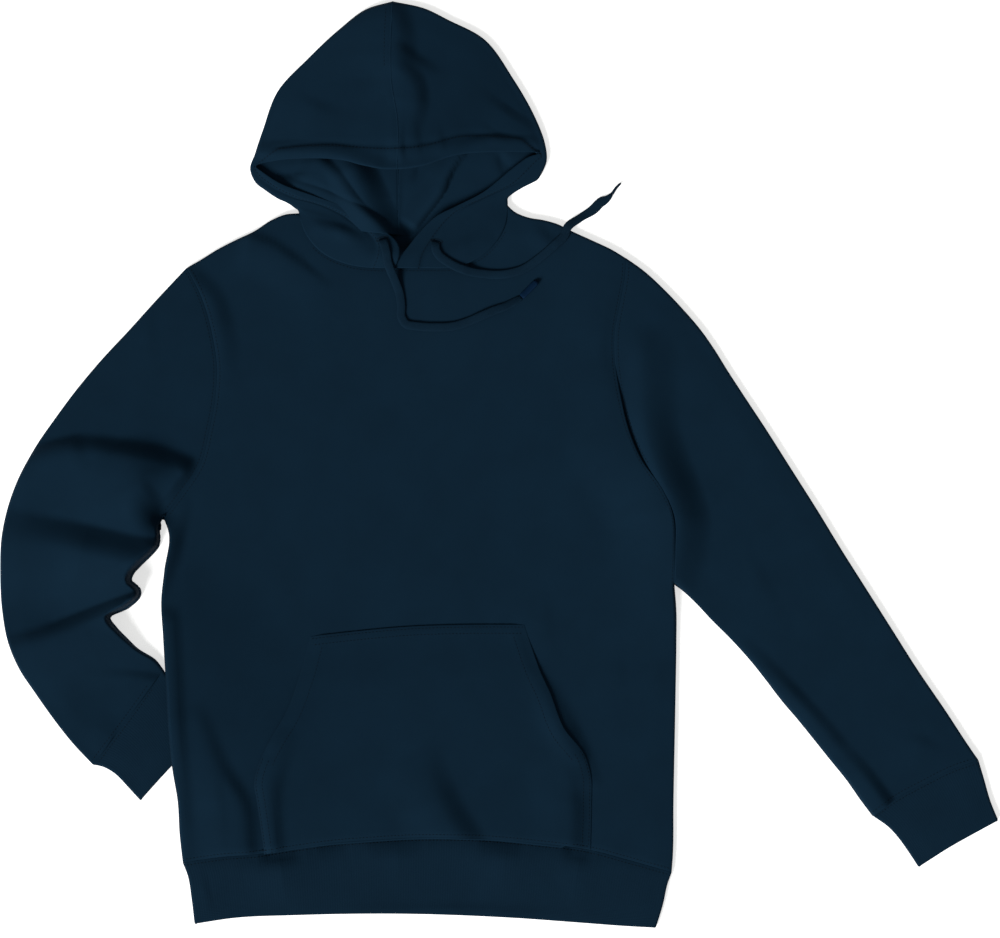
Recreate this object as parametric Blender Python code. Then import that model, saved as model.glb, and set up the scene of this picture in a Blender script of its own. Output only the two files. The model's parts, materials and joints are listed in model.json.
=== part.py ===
"""Pullover hoodie lying flat, face up: a closed solid for each cut piece of cloth, for the cord ends and
for their tips. Metres, +Z up. The garment rests on z = 0, with its waistband towards -Y.

Sizes and tables are in millimetres, and the cloth function turns them to metres. Left and right are
the wearer's, so the left sleeve lies towards +X."""

import math
from collections import namedtuple

import bpy
import bmesh
import numpy as np
from mathutils import Matrix, Vector
from mathutils.bvhtree import BVHTree

MM = 0.001
COLLECTION = "pullover_hoodie"
GARMENT = "garment"
SMOOTH_ANGLE = math.radians(50)

# Cloth.
FLEECE = 2.4
RIB = 2.8
CASING = 4.0
SEAM_GAP = 0.3
LAID_HEIGHT = 7.6
EDGE_RADIUS = LAID_HEIGHT / 2
SOFT_EDGE = 24.0
PUFF = 0.8
LEAST_CROWN = 1.6
EDGE_SHARE = 1.0
CASING_WIDTH = 22.0
LIP_FALL = 1.6
SEAM_BOW_FADE = 3
NECK_BOW_FADE = 6
BACK_BOW_FADE = 4
CROWN_BOW_FADE = 4
OBLIQUE = 0.35

# The body's side lies over the bent sleeve's cuff, and is lifted there.
CUFF_LIFT = 9.6
LIFT_MARGIN = 14.0
LIFT_SLOPE = 66.0

# Cord.
CORD_WIDTH = 9.0
CORD_THICKNESS = 2.2
CORD_STEP = 11.0
CORD_CLEARANCE = 0.4
CORD_EASING = 6
CORD_PROBE = 5.0

# How finely each piece is divided.
SIDE_ROWS = 13
ARMHOLE_TOP = 9
ARMHOLE_UNDER = 5
SHOULDER_COLUMNS = 4
NECK_COLUMNS = 10
BACK_SHOULDER_COLUMNS = 2
BACK_NECK_COLUMNS = 8
LEFT_SLEEVE_RINGS = 17
RIGHT_SLEEVE_RINGS = 20
CUFF_RINGS = 4
WAISTBAND_RINGS = 4
HOOD_LINES = 22
HOOD_TOP = 5
HOOD_UNDER = 4

Finish = namedtuple("Finish", "colour roughness")
FLEECE_FINISH = Finish((0.009, 0.018, 0.031), 0.95)
RIB_FINISH = Finish((0.010, 0.020, 0.034), 0.92)
CORD_FINISH = Finish((0.012, 0.024, 0.040), 0.8)
BLUE_TIP_FINISH = Finish((0.010, 0.045, 0.110), 0.35)
DARK_TIP_FINISH = Finish((0.010, 0.012, 0.016), 0.4)

Fold = namedtuple("Fold", "x0 y0 x1 y1 half_width height")
Rung = namedtuple("Rung", "outer_x outer_y inner_x inner_y")
HoodLine = namedtuple("HoodLine", "face_x face_y lip_height fold_x fold_y seam_y")
Spot = namedtuple("Spot", "x y")

# Edges of the body, each one with the cloth on its left hand.
SIDE_RIGHT = [  # x, y: armpit down to the waistband
    (-345, -54), (-340, -67), (-344, -108), (-347, -138), (-345, -174), (-343, -205), (-335, -313),
    (-330, -343), (-328, -379), (-325, -407),
]
SIDE_LEFT = [  # x, y: waistband up to the sleeve's underside
    (176, -417), (177, -405), (178, -344), (180, -241), (181, -179), (181, -150), (179, -123),
]
SHOULDER_LEFT = [  # x, y: shoulder point to neck
    (129, 212), (116, 220), (95, 230), (73, 240), (59, 247), (45, 251), (28, 254), (13, 261), (8, 266),
]
SHOULDER_RIGHT = [  # x, y: neck to shoulder point
    (-206, 258), (-219, 257), (-234, 251), (-251, 240), (-272, 230), (-291, 220), (-307, 210), (-321, 202),
]
ARMHOLE_RIGHT = [  # x, y: shoulder point to armpit
    (-321, 202), (-314, 190), (-302, 162), (-294, 131), (-290, 104), (-292, 65), (-298, 34), (-306, 2),
    (-325, -28), (-345, -54),
]
ARMHOLE_LEFT = [  # x, y: shoulder point to armpit, then down the side that lies over the sleeve
    (129, 212), (128, 192), (124, 170), (118, 134), (119, 98), (124, 68), (132, 37), (146, 5),
    (167, -26), (178, -50), (180, -86), (179, -123),
]
NECK_FRONT = [  # x, y: right side of the neck to the left
    (-206, 258), (-199, 238), (-182, 218), (-156, 206), (-127, 202), (-107, 202), (-75, 202),
    (-47, 203), (-23, 212), (-5, 228), (5, 246), (8, 266),
]
NECK_BACK = [  # x, y
    (-206, 258), (-170, 246), (-130, 239), (-105, 236), (-70, 239), (-30, 249), (8, 266),
]
NECK_FRONT_CENTRE = 0.454
NECK_BACK_CENTRE = 0.468
WAIST_SEAM = [  # x, y: right to left
    (-325, -407), (-284, -401), (-246, -398), (-208, -392), (-171, -387), (-133, -384), (-77, -381),
    (-21, -382), (36, -387), (92, -394), (130, -404), (176, -417),
]
HEM = [  # x, y: right to left
    (-313, -469), (-273, -463), (-208, -460), (-77, -459), (17, -463), (85, -468), (125, -471), (160, -473),
]
BAND_RIGHT = [(-325, -407), (-320, -420), (-316, -444), (-313, -469)]
BAND_LEFT = [(176, -417), (172, -428), (167, -450), (160, -473)]

# Left sleeve: its edges from the shoulder and the armpit to the cuff.
LEFT_UPPER = [
    (129, 212), (146, 200), (169, 179), (188, 159), (206, 138), (220, 118), (233, 97), (246, 77),
    (273, 36), (299, -5), (325, -46), (350, -87), (376, -128), (402, -169), (428, -210), (456, -251),
    (483, -292), (490, -302),
]
LEFT_LOWER = [
    (179, -123), (186, -128), (197, -138), (217, -159), (237, -179), (256, -200), (272, -220),
    (288, -241), (305, -261), (322, -282), (338, -302), (355, -323), (369, -343), (381, -359),
]
LEFT_CUFF_SEAM = [(490, -302), (461, -312), (439, -323), (401, -344), (381, -359)]
LEFT_CUFF_END = [(510, -363), (486, -376), (461, -390), (428, -411)]
LEFT_CUFF_UPPER = [(490, -302), (496, -322), (502, -343), (510, -363)]
LEFT_CUFF_LOWER = [(381, -359), (399, -372), (408, -382), (416, -393), (428, -411)]

# Right sleeve, bent at the elbow so that its cuff goes under the body's side.
RIGHT_RUNGS = [
    Rung(-321, 202, -345, -54),
    Rung(-352, 169, -348, -61),
    Rung(-380, 138, -350, -68),
    Rung(-408, 108, -348, -75),
    Rung(-434, 77, -349, -83),
    Rung(-457, 46, -359, -93),
    Rung(-478, 15, -369, -103),
    Rung(-494, -15, -376, -111),
    Rung(-505, -46, -378, -119),
    Rung(-511, -77, -370, -126),
    Rung(-512, -108, -369, -134),
    Rung(-510, -149, -382, -146),
    Rung(-503, -185, -400, -156),
    Rung(-492, -210, -393, -167),
    Rung(-478, -231, -383, -177),
    Rung(-456, -262, -369, -189),
    Rung(-436, -287, -353, -199),
    Rung(-417, -307, -345, -209),
]
RIGHT_CUFF_SEAM = [(-417, -307), (-381, -259), (-345, -209)]
RIGHT_CUFF_END = [(-369, -343), (-338, -309), (-305, -276)]
RIGHT_CUFF_OUTER = [(-417, -307), (-407, -309), (-396, -315), (-380, -331), (-369, -343)]
RIGHT_CUFF_INNER = [(-345, -209), (-325, -242), (-305, -276)]
HIDDEN_CUFF = [Spot(-343, -208), Spot(-305, -276), Spot(-337, -312)]

# Hood halves: each line runs from the face edge over the top layer, round the side fold and along the
# under layer to the centre seam. The first lies on the neck seam and the last on the centre seam.
HOOD_RIGHT = [
    HoodLine(-107, 203, 10, -206, 258, 236),
    HoodLine(-99, 214, 14, -207, 261, 240),
    HoodLine(-99, 224, 17, -210, 263, 246),
    HoodLine(-127, 247, 19, -214, 266, 253),
    HoodLine(-151, 261, 18, -219, 269, 261),
    HoodLine(-191, 276, 15, -228, 273, 272),
    HoodLine(-226, 289, 12, -240, 281, 284),
    HoodLine(-243, 300, 10, -251, 290, 297),
    HoodLine(-250, 306, 9, -256, 302, 313),
    HoodLine(-231, 311, 15, -251, 319, 333),
    HoodLine(-197, 313, 24, -243, 343, 359),
    HoodLine(-162, 311, 30, -227, 384, 389),
    HoodLine(-142, 306, 33, -198, 415, 420),
    HoodLine(-125, 303, 34, -164, 446, 443),
    HoodLine(-105, 302, 34, -110, 475, 464),
]
HOOD_LEFT = [
    HoodLine(-105, 203, 10, 8, 266, 236),
    HoodLine(-97, 214, 15, 8, 269, 240),
    HoodLine(-92, 225, 18, 8, 273, 246),
    HoodLine(-82, 239, 21, 12, 277, 253),
    HoodLine(-65, 255, 20, 18, 281, 261),
    HoodLine(-47, 264, 18, 25, 285, 269),
    HoodLine(-18, 279, 15, 33, 289, 279),
    HoodLine(13, 304, 11, 40, 294, 290),
    HoodLine(28, 315, 9, 45, 303, 302),
    HoodLine(40, 319, 9, 48, 312, 318),
    HoodLine(21, 320, 14, 46, 330, 339),
    HoodLine(-1, 320, 21, 37, 354, 362),
    HoodLine(-33, 318, 28, 14, 395, 391),
    HoodLine(-53, 314, 32, -16, 436, 421),
    HoodLine(-77, 306, 34, -54, 457, 443),
    HoodLine(-105, 302, 34, -110, 475, 464),
]
CROWN_SEAM = [(-105, 302), (-105, 354), (-111, 390), (-112, 420), (-110, 475)]
HOOD_BACK_SEAM = [(-105, 236), (-105, 354), (-108, 420), (-110, 464)]

BODY_FOLDS = [
    Fold(-326, -160, -327, -246, 9, -1.6),
    Fold(-302, -260, -291, -305, 9, -1.6),
    Fold(-291, -305, -257, -388, 9, -1.8),
    Fold(-280, -240, -262, -330, 13, 2.4),
    Fold(130, -185, 130, -235, 9, -1.4),
    Fold(-251, 239, -182, 193, 9, -1.6),
    Fold(-262, 214, -205, 176, 14, 2.0),
    Fold(-306, 190, -284, 100, 9, -1.2),
    Fold(-170, 192, -40, 192, 14, 2.2),
    Fold(-60, 100, 20, -120, 60, 1.6),
    Fold(-230, 120, -210, -80, 50, 1.6),
]
SLEEVE_RIGHT_FOLDS = [
    Fold(-465, 20, -330, 4, 9, -2.5),
    Fold(-499, -56, -404, -91, 10, -2.5),
    Fold(-404, -91, -355, -83, 9, -2.5),
    Fold(-497, -175, -392, -134, 10, -2.5),
    Fold(-386, -202, -356, -213, 9, -2.0),
    Fold(-472, -16, -366, -44, 20, 9.0),
    Fold(-495, -116, -405, -112, 22, 10.0),
    Fold(-425, 66, -330, 42, 26, 5.0),
    Fold(-452, -232, -395, -186, 24, 6.0),
]
SLEEVE_LEFT_FOLDS = [
    Fold(168, 143, 132, 77, 9, -1.8),
    Fold(172, 94, 159, 41, 9, -1.6),
    Fold(252, -182, 328, -261, 12, -1.8),
    Fold(150, 130, 148, 20, 14, 3.0),
    Fold(215, 40, 420, -270, 46, 2.6),
    Fold(388, -315, 410, -338, 8, -1.6),
]
CROWN_FOLDS = [
    Fold(-100, 458, -66, 412, 10, -2.2),
    Fold(-92, 398, -92, 330, 10, -2.0),
    Fold(-210, 372, -160, 356, 14, -1.6),
    Fold(-7, 364, 28, 349, 12, -1.6),
    Fold(-75, 380, -30, 350, 22, 3.0),
    Fold(-170, 400, -140, 350, 26, 3.0),
    Fold(-180, 252, -150, 232, 9, -1.6),
    Fold(-40, 245, -10, 262, 14, 2.0),
]
HOOD_LINING_FOLDS = [
    Fold(-215, 300, -140, 256, 16, 4.6),
    Fold(-160, 306, -120, 258, 9, 3.4),
    Fold(-60, 300, -80, 262, 9, 3.6),
    Fold(-10, 300, -55, 272, 15, 4.6),
]
BAND_FOLDS = [
    Fold(-250, -409, -190, -401, 9, -1.6),
    Fold(-175, -398, -155, -396, 8, -1.4),
    Fold(-133, -394, -77, -391, 9, -1.6),
    Fold(-26, -392, 24, -396, 9, -1.6),
    Fold(68, -402, 98, -405, 8, -1.4),
    Fold(-113, -450, 55, -450, 7, -1.2),
]

POCKET_OUTLINE = [  # x, y: top edge, left opening, side, beyond the hem seam, side, right opening
    (-194, -175), (-95, -165), (25, -163), (29, -165), (34, -190), (42, -212), (51, -231), (66, -269),
    (88, -298), (94, -321), (94, -343), (92, -420), (-240, -420), (-246, -381), (-250, -340),
    (-252, -328), (-246, -302), (-235, -280), (-219, -253), (-205, -215), (-198, -190),
]
POCKET_LEFT_OPENING = [Spot(29, -165), Spot(34, -190), Spot(51, -231), Spot(66, -269), Spot(88, -298)]
POCKET_RIGHT_OPENING = [
    Spot(-198, -190), Spot(-205, -215), Spot(-219, -253), Spot(-235, -280), Spot(-246, -302),
]
POCKET_TOP = -150
POCKET_PATCH_SIDES = (-300, 130)
OPENING_LIFT = 3.0
OPENING_WIDTH = 26.0
PRISM_HEIGHT = 80.0

# Cord ends, from the slit in the casing to the tip.
CORD_RIGHT_ROUTE = [
    (-120, 231), (-117, 221), (-114, 205), (-108, 190), (-103, 176), (-101, 163), (-101, 152), (-97, 145),
    (-84, 142), (-66, 141), (-48, 142), (-34, 146), (-20, 152), (-6, 158), (3, 160), (23, 170),
]
CORD_LEFT_ROUTE = [
    (-65, 229), (-66, 222), (-62, 214), (-57, 210), (-43, 202), (-31, 198), (-20, 196), (2, 195),
    (23, 200), (41, 212), (56, 225), (66, 235), (69, 243), (82, 253), (96, 262), (103, 269), (110, 273),
    (115, 278),
]
Tip = namedtuple("Tip", "length width thickness")
TIP_RIGHT = Tip(22.0, 8.2, 2.6)
TIP_LEFT = Tip(12.5, 1.9, 1.9)
TIP_GAP = 0.3
TIP_SIDES = 12
TIP_TAPER = 0.84


# Lines and divisions.


def smooth_line(route, steps=14):
    """A smooth curve through the route's points, as a dense polyline."""
    points = np.array(route, float)
    knots = np.concatenate([[0.0], np.cumsum(np.linalg.norm(np.diff(points, axis=0), axis=1))])
    slopes = np.gradient(points, knots, axis=0)
    found = [points[:1]]
    for i in range(len(points) - 1):
        t = (np.arange(1, steps + 1) / steps)[:, None]
        span = knots[i + 1] - knots[i]
        found.append(
            (2 * t**3 - 3 * t**2 + 1) * points[i]
            + (t**3 - 2 * t**2 + t) * span * slopes[i]
            + (3 * t**2 - 2 * t**3) * points[i + 1]
            + (t**3 - t**2) * span * slopes[i + 1]
        )
    return np.concatenate(found)


def length_of(line):
    return float(np.linalg.norm(np.diff(line, axis=0), axis=1).sum())


def along(line, shares):
    """The line's points at shares of its length, from 0 to 1."""
    reach = np.concatenate([[0.0], np.cumsum(np.linalg.norm(np.diff(line, axis=0), axis=1))])
    at = np.asarray(shares) * reach[-1]
    return np.stack([np.interp(at, reach, line[:, k]) for k in range(line.shape[1])], axis=-1)


def edge_shares(length, inner):
    """Shares of a section's length: two close points for each rounded edge, and inner points between."""
    near = EDGE_RADIUS * (1 - math.cos(math.pi / 4))
    ends = np.array([0.0, near, EDGE_RADIUS]) / length
    middle = np.linspace(ends[-1], 1 - ends[-1], inner + 2)[1:-1]
    return np.concatenate([ends, middle, 1 - ends[::-1]])


def unit(vectors):
    return vectors / np.linalg.norm(vectors, axis=-1, keepdims=True)


def seam_normals(points):
    """Unit normals of a seam's points, on its left hand."""
    run = unit(np.gradient(points, axis=0))
    return np.stack([-run[:, 1], run[:, 0]], axis=1)


# Heights.


def segment_distance(p, a, b):
    """Distance from p to the stretch from a to b, and the nearest point on it."""
    run = b - a
    t = min(1.0, max(0.0, float(np.dot(p - a, run) / max(np.dot(run, run), 1e-9))))
    nearest = a + t * run
    return float(np.linalg.norm(p - nearest)), nearest


def edge_distance(p, edges):
    """How far p lies inside the folded edges, and the unit direction that leads inwards there."""
    best = (math.inf, None)
    for line in edges:
        squares = ((line - p) ** 2).sum(axis=1)
        k = int(squares.argmin())
        for i in (k - 1, k):
            if 0 <= i < len(line) - 1:
                far, nearest = segment_distance(p, line[i], line[i + 1])
                if far < best[0]:
                    run = line[i + 1] - line[i]
                    normal = np.array([-run[1], run[0]]) / np.linalg.norm(run)
                    best = (far, (p - nearest) / far if far > SEAM_GAP else normal)
    return best


def smooth_step(x):
    x = min(1.0, max(0.0, x))
    return x * x * (3 - 2 * x)


def fold_height(p, folds):
    """Sum of the soft ridges and troughs at p, each tapering at its ends."""
    total = 0.0
    for fold in folds:
        a = np.array([fold.x0, fold.y0], float)
        b = np.array([fold.x1, fold.y1], float)
        far, _ = segment_distance(p, a, b)
        total += fold.height * math.exp(-((far / fold.half_width) ** 2))
    return total


def cuff_lift(p):
    """How far the body is lifted by the cuff beneath it."""
    corners = [np.array(spot, float) for spot in HIDDEN_CUFF]
    sides = [(corners[k], corners[(k + 1) % len(corners)]) for k in range(len(corners))]
    turns = [np.cross(b - a, p - a) for a, b in sides]
    inside = all(turn <= 0 for turn in turns) or all(turn >= 0 for turn in turns)
    far = 0.0 if inside else min(segment_distance(p, a, b)[0] for a, b in sides)
    return CUFF_LIFT * smooth_step(1 - (far - LIFT_MARGIN) / LIFT_SLOPE)


def laid_node(p, side, ways, edges, folds, wall, lifted=False, rise=0.0):
    """Outer and inner point of a laid wall at plan point p: side is 1 on the top layer, -1 on the under
    layer, and 0 on the folded edge itself. A fractional side is an edge beside its seam's gap. The inner
    point keeps to the one of the grid's ways that leads inwards, so that it stays on its own section."""
    far, normal = edge_distance(p, edges)
    inward = ways[int(np.argmax(ways @ normal))]
    on_layer = abs(side) == 1
    turned = 1 - min(far / EDGE_RADIUS, 1.0) if on_layer else 1.0
    steep = math.sqrt(max(0.0, 1 - turned * turned))
    base = cuff_lift(p) if lifted else 0.0
    height = base + EDGE_RADIUS + side * (EDGE_RADIUS * steep if on_layer else EDGE_SHARE)
    soft = smooth_step(far / SOFT_EDGE)
    if side == 1:
        height += soft * (PUFF + fold_height(p, folds)) + rise
        height = max(height, base + EDGE_RADIUS + steep * LEAST_CROWN)
    elif side == -1:
        height += soft * fold_height(p, folds)
    outer = np.array([p[0], p[1], height])
    tilt = steep * np.sign(side)
    thick = wall if turned == 0 or not on_layer else min(wall, RIB)
    inner = outer + thick * np.array([inward[0] * turned, inward[1] * turned, -tilt])
    return outer, inner


# Meshes.


def material(name, finish):
    made = bpy.data.materials.new(name)
    made.use_nodes = True
    shader = made.node_tree.nodes["Principled BSDF"]
    shader.inputs["Base Color"].default_value = (*finish.colour, 1.0)
    shader.inputs["Roughness"].default_value = finish.roughness
    shader.inputs["Metallic"].default_value = 0.0
    return made


def add_object(name, data, finish, collection):
    """An object with its own material, parented to the garment's empty."""
    data.materials.append(material(name, finish))
    made = bpy.data.objects.new(name, data)
    made.parent = bpy.data.objects[GARMENT]
    collection.objects.link(made)
    return made


def cloth(name, outer, inner, ring, finish, collection):
    """A wall through sections: outer and inner are grids of points, one row for each section."""
    rows, columns = outer.shape[:2]
    count = rows * columns
    points = np.concatenate([outer.reshape(-1, 3), inner.reshape(-1, 3)]) * MM
    faces = []
    for i in range(rows - 1):
        for j in range(columns if ring else columns - 1):
            k = (j + 1) % columns
            a, b, c, d = i * columns + j, i * columns + k, (i + 1) * columns + k, (i + 1) * columns + j
            faces += [(a, b, c), (a, c, d)]
            faces += [(a + count, c + count, b + count), (a + count, d + count, c + count)]
    rims = []
    for i in (0, rows - 1):
        last = columns if ring else columns - 1
        rims += [(i * columns + j, i * columns + (j + 1) % columns) for j in range(last)]
    if not ring:
        for j in (0, columns - 1):
            rims += [(i * columns + j, (i + 1) * columns + j) for i in range(rows - 1)]
    for a, b in rims:
        faces += [(a, b, b + count), (a, b + count, a + count)]
    mesh = bpy.data.meshes.new(name)
    mesh.from_pydata(points.tolist(), [], faces)
    shaped = bmesh.new()
    shaped.from_mesh(mesh)
    bmesh.ops.recalc_face_normals(shaped, faces=shaped.faces)
    shaped.to_mesh(mesh)
    shaped.free()
    mesh.shade_smooth()
    mesh.set_sharp_from_angle(angle=SMOOTH_ANGLE)
    return add_object(name, mesh, finish, collection)


def grid_ways(plan, i, j, along_rows_only):
    """Unit vectors from a grid point to its neighbours."""
    rows, columns = plan.shape[:2]
    steps = [(0, 1), (0, -1)] if along_rows_only else [(0, 1), (0, -1), (1, 0), (-1, 0)]
    ways = []
    for down, across in steps:
        if 0 <= i + down < rows and 0 <= j + across < columns:
            ways.append(unit(plan[i + down, j + across] - plan[i, j]))
    return np.array(ways)


def walls_from(plan, sides, edges, folds, wall, lifted=False, rises=None, sections=True):
    """Outer and inner grids over a plan grid, with a side for every point."""
    outer = np.zeros((*plan.shape[:2], 3))
    inner = np.zeros_like(outer)
    for i in range(plan.shape[0]):
        for j in range(plan.shape[1]):
            ways = grid_ways(plan, i, j, sections)
            rise = 0.0 if rises is None else rises[i, j]
            thick = wall if np.isscalar(wall) else wall[i, j]
            chosen = folds[1] if sides[i, j] < 0 else folds[0]
            outer[i, j], inner[i, j] = laid_node(
                plan[i, j], sides[i, j], ways, edges, chosen, thick, lifted, rise
            )
    return outer, inner


# Body.


def patch(bottom, top, left, right, across, up):
    """A grid between four seams: across and up are the shares of its columns and rows."""
    u = np.asarray(across)[None, :, None]
    v = np.asarray(up)[:, None, None]
    ruled = (1 - v) * bottom[None] + v * top[None] + (1 - u) * left[:, None] + u * right[:, None]
    corners = (
        (1 - u) * (1 - v) * bottom[0] + u * (1 - v) * bottom[-1] + (1 - u) * v * top[0] + u * v * top[-1]
    )
    return ruled - corners


def stretch(start, end, count):
    """Shares from start to end, without the start."""
    return np.linspace(start, end, count + 1)[1:]


def armhole_nodes(armhole, inner):
    line = smooth_line(armhole)
    return along(line, edge_shares(length_of(line), inner))


def neck_nodes(route, centre, columns):
    """Points of a neck seam, with the hood's centre seam at the given share of its length."""
    half = columns // 2
    shares = np.concatenate([[0.0], stretch(0, centre, half), stretch(centre, 1, half)])
    return along(smooth_line(route), shares)


def body_panel(name, neck, armhole_inner, shoulder_columns, side, finish, collection):
    """Front or back panel: rows from the waistband up its sides and round the armholes, columns from the
    hem to the shoulders and the neck, whose nodes are given."""
    right_side = along(smooth_line(SIDE_RIGHT), np.linspace(1, 0, SIDE_ROWS + 1))
    left_side = along(smooth_line(SIDE_LEFT), np.linspace(0, 1, SIDE_ROWS + 1))
    right = np.concatenate([right_side, armhole_nodes(ARMHOLE_RIGHT, armhole_inner)[-2::-1]])
    left = np.concatenate([left_side, armhole_nodes(ARMHOLE_LEFT, armhole_inner)[-2::-1]])
    shoulder_right = smooth_line(SHOULDER_RIGHT)[::-1]
    shoulder_left = smooth_line(SHOULDER_LEFT)[::-1]
    close = edge_shares(length_of(shoulder_right), 0)[:3]
    shares = np.concatenate([close, stretch(close[-1], 1.0, shoulder_columns)])
    top = np.concatenate(
        [
            along(shoulder_right, shares),
            neck[1:],
            along(shoulder_left, 1 - shares[-2::-1]),
        ]
    )
    across = (top[:, 0] - top[0, 0]) / (top[-1, 0] - top[0, 0])
    bottom = along(smooth_line(WAIST_SEAM), across)
    up = np.array([length_of(right[: i + 1]) for i in range(len(right))])
    up_left = np.array([length_of(left[: i + 1]) for i in range(len(left))])
    up = (up / up[-1] + up_left / up_left[-1]) / 2
    plan = patch(bottom, top, right, left, across, up)
    sides = np.full(plan.shape[:2], float(side))
    beside_gap = side * SEAM_GAP / 2
    sides[: SIDE_ROWS + 1, 0] = beside_gap
    sides[: SIDE_ROWS + 1, -1] = beside_gap
    sides[-1, : len(shares)] = beside_gap
    sides[-1, -len(shares) :] = beside_gap
    edges = [smooth_line(route) for route in (SIDE_RIGHT, SIDE_LEFT, SHOULDER_LEFT, SHOULDER_RIGHT)]
    folds = (BODY_FOLDS, [])
    outer, inner = walls_from(plan, sides, edges, folds, FLEECE, lifted=True, sections=False)
    cloth(name, outer, inner, False, finish, collection)
    return outer, across


# Sleeves, cuffs and waistband.


def shift_from_seam(plan):
    """Moves the first row of a grid off its seam, square to it and towards the next row."""
    toward = unit(plan[1] - plan[0])
    square = seam_normals(plan[0])
    facing = (square * toward).sum(axis=1, keepdims=True)
    square = np.where(np.abs(facing) < OBLIQUE, toward, square * np.sign(facing))
    plan[0] += SEAM_GAP * square


def tube(name, starts, ends, seams, shares_for, edges, folds, wall, finish, collection, lifted=False):
    """A flattened tube: ring i runs from starts[i] over the top to ends[i] and back along the under side.
    Its first and last rings follow the seams, whose bow fades along the tube."""
    first_seam, last_seam = seams
    rings = len(starts)
    plan = []
    for i in range(rings):
        u = i / (rings - 1)
        width = float(np.linalg.norm(ends[i] - starts[i]))
        if i == 0:
            width = length_of(first_seam)
        elif i == rings - 1:
            width = length_of(last_seam)
        shares = shares_for(width)
        halves = []
        for share in shares:
            straight = starts[i] + share[:, None] * (ends[i] - starts[i])
            first_bow = along(first_seam, share) - (starts[0] + share[:, None] * (ends[0] - starts[0]))
            last_bow = along(last_seam, share) - (starts[-1] + share[:, None] * (ends[-1] - starts[-1]))
            halves.append(straight + (1 - u) ** SEAM_BOW_FADE * first_bow + u**SEAM_BOW_FADE * last_bow)
        plan.append(np.concatenate([halves[0], halves[1][-2:0:-1]]))
    plan = np.array(plan)
    last_top = len(shares_for(1.0)[0]) - 1
    ends_at = [0, last_top]
    corners = plan[0, ends_at] + SEAM_GAP * unit(plan[1, ends_at] - plan[0, ends_at])
    top_half = plan[:, : last_top + 1].copy()
    under_half = plan[:, np.r_[last_top : plan.shape[1], 0]].copy()
    shift_from_seam(top_half)
    shift_from_seam(under_half)
    plan[0, : last_top + 1] = top_half[0]
    plan[0, last_top:] = under_half[0, :-1]
    plan[0, ends_at] = corners
    sides = np.full(plan.shape[:2], -1.0)
    sides[:, : last_top + 1] = 1.0
    sides[:, 0] = 0.0
    sides[:, last_top] = 0.0
    outer, inner = walls_from(plan, sides, edges, (folds, []), wall, lifted)
    return cloth(name, outer, inner, True, finish, collection)


def sleeve_shares(width):
    return edge_shares(width, ARMHOLE_TOP), edge_shares(width, ARMHOLE_UNDER)


def sleeve_left(finish, collection):
    shares = np.linspace(0, 1, LEFT_SLEEVE_RINGS)
    upper, lower = smooth_line(LEFT_UPPER), smooth_line(LEFT_LOWER)
    edges = [lower, upper[::-1]]
    return tube(
        "sleeve_left", along(upper, shares), along(lower, shares),
        (smooth_line(ARMHOLE_LEFT), smooth_line(LEFT_CUFF_SEAM)), sleeve_shares, edges,
        SLEEVE_LEFT_FOLDS, FLEECE, finish, collection,
    )


def sleeve_right(finish, collection):
    rungs = np.array(RIGHT_RUNGS, float)
    shares = np.linspace(0, 1, RIGHT_SLEEVE_RINGS)
    lines = smooth_line(rungs)
    reach = np.linspace(0, 1, len(lines))
    rows = np.stack([np.interp(shares, reach, lines[:, k]) for k in range(4)], axis=1)
    edges = [rows[:, :2], rows[::-1, 2:]]
    return tube(
        "sleeve_right", rows[:, :2], rows[:, 2:],
        (smooth_line(ARMHOLE_RIGHT), smooth_line(RIGHT_CUFF_SEAM)), sleeve_shares, edges,
        SLEEVE_RIGHT_FOLDS, FLEECE, finish, collection,
    )


def cuff(name, upper, lower, seam, end, finish, collection):
    shares = np.linspace(0, 1, CUFF_RINGS)
    upper, lower = smooth_line(upper), smooth_line(lower)
    on_left = np.cross(upper[-1] - upper[0], lower[0] - upper[0]) > 0
    edges = [upper, lower[::-1]] if on_left else [upper[::-1], lower]
    return tube(
        name, along(upper, shares), along(lower, shares), (smooth_line(seam), smooth_line(end)),
        sleeve_shares, edges, [], RIB, finish, collection,
    )


def waistband(panel_shares, finish, collection):
    """The rib tube under the body, its points on the seam shared with the two panels."""
    shares = np.linspace(0, 1, WAISTBAND_RINGS)
    right, left = smooth_line(BAND_RIGHT), smooth_line(BAND_LEFT)
    edges = [right, left[::-1]]
    return tube(
        "waistband", along(right, shares), along(left, shares), (smooth_line(WAIST_SEAM), smooth_line(HEM)),
        lambda width: panel_shares, edges, BAND_FOLDS, RIB, finish, collection, lifted=True,
    )


# Hood.


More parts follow.
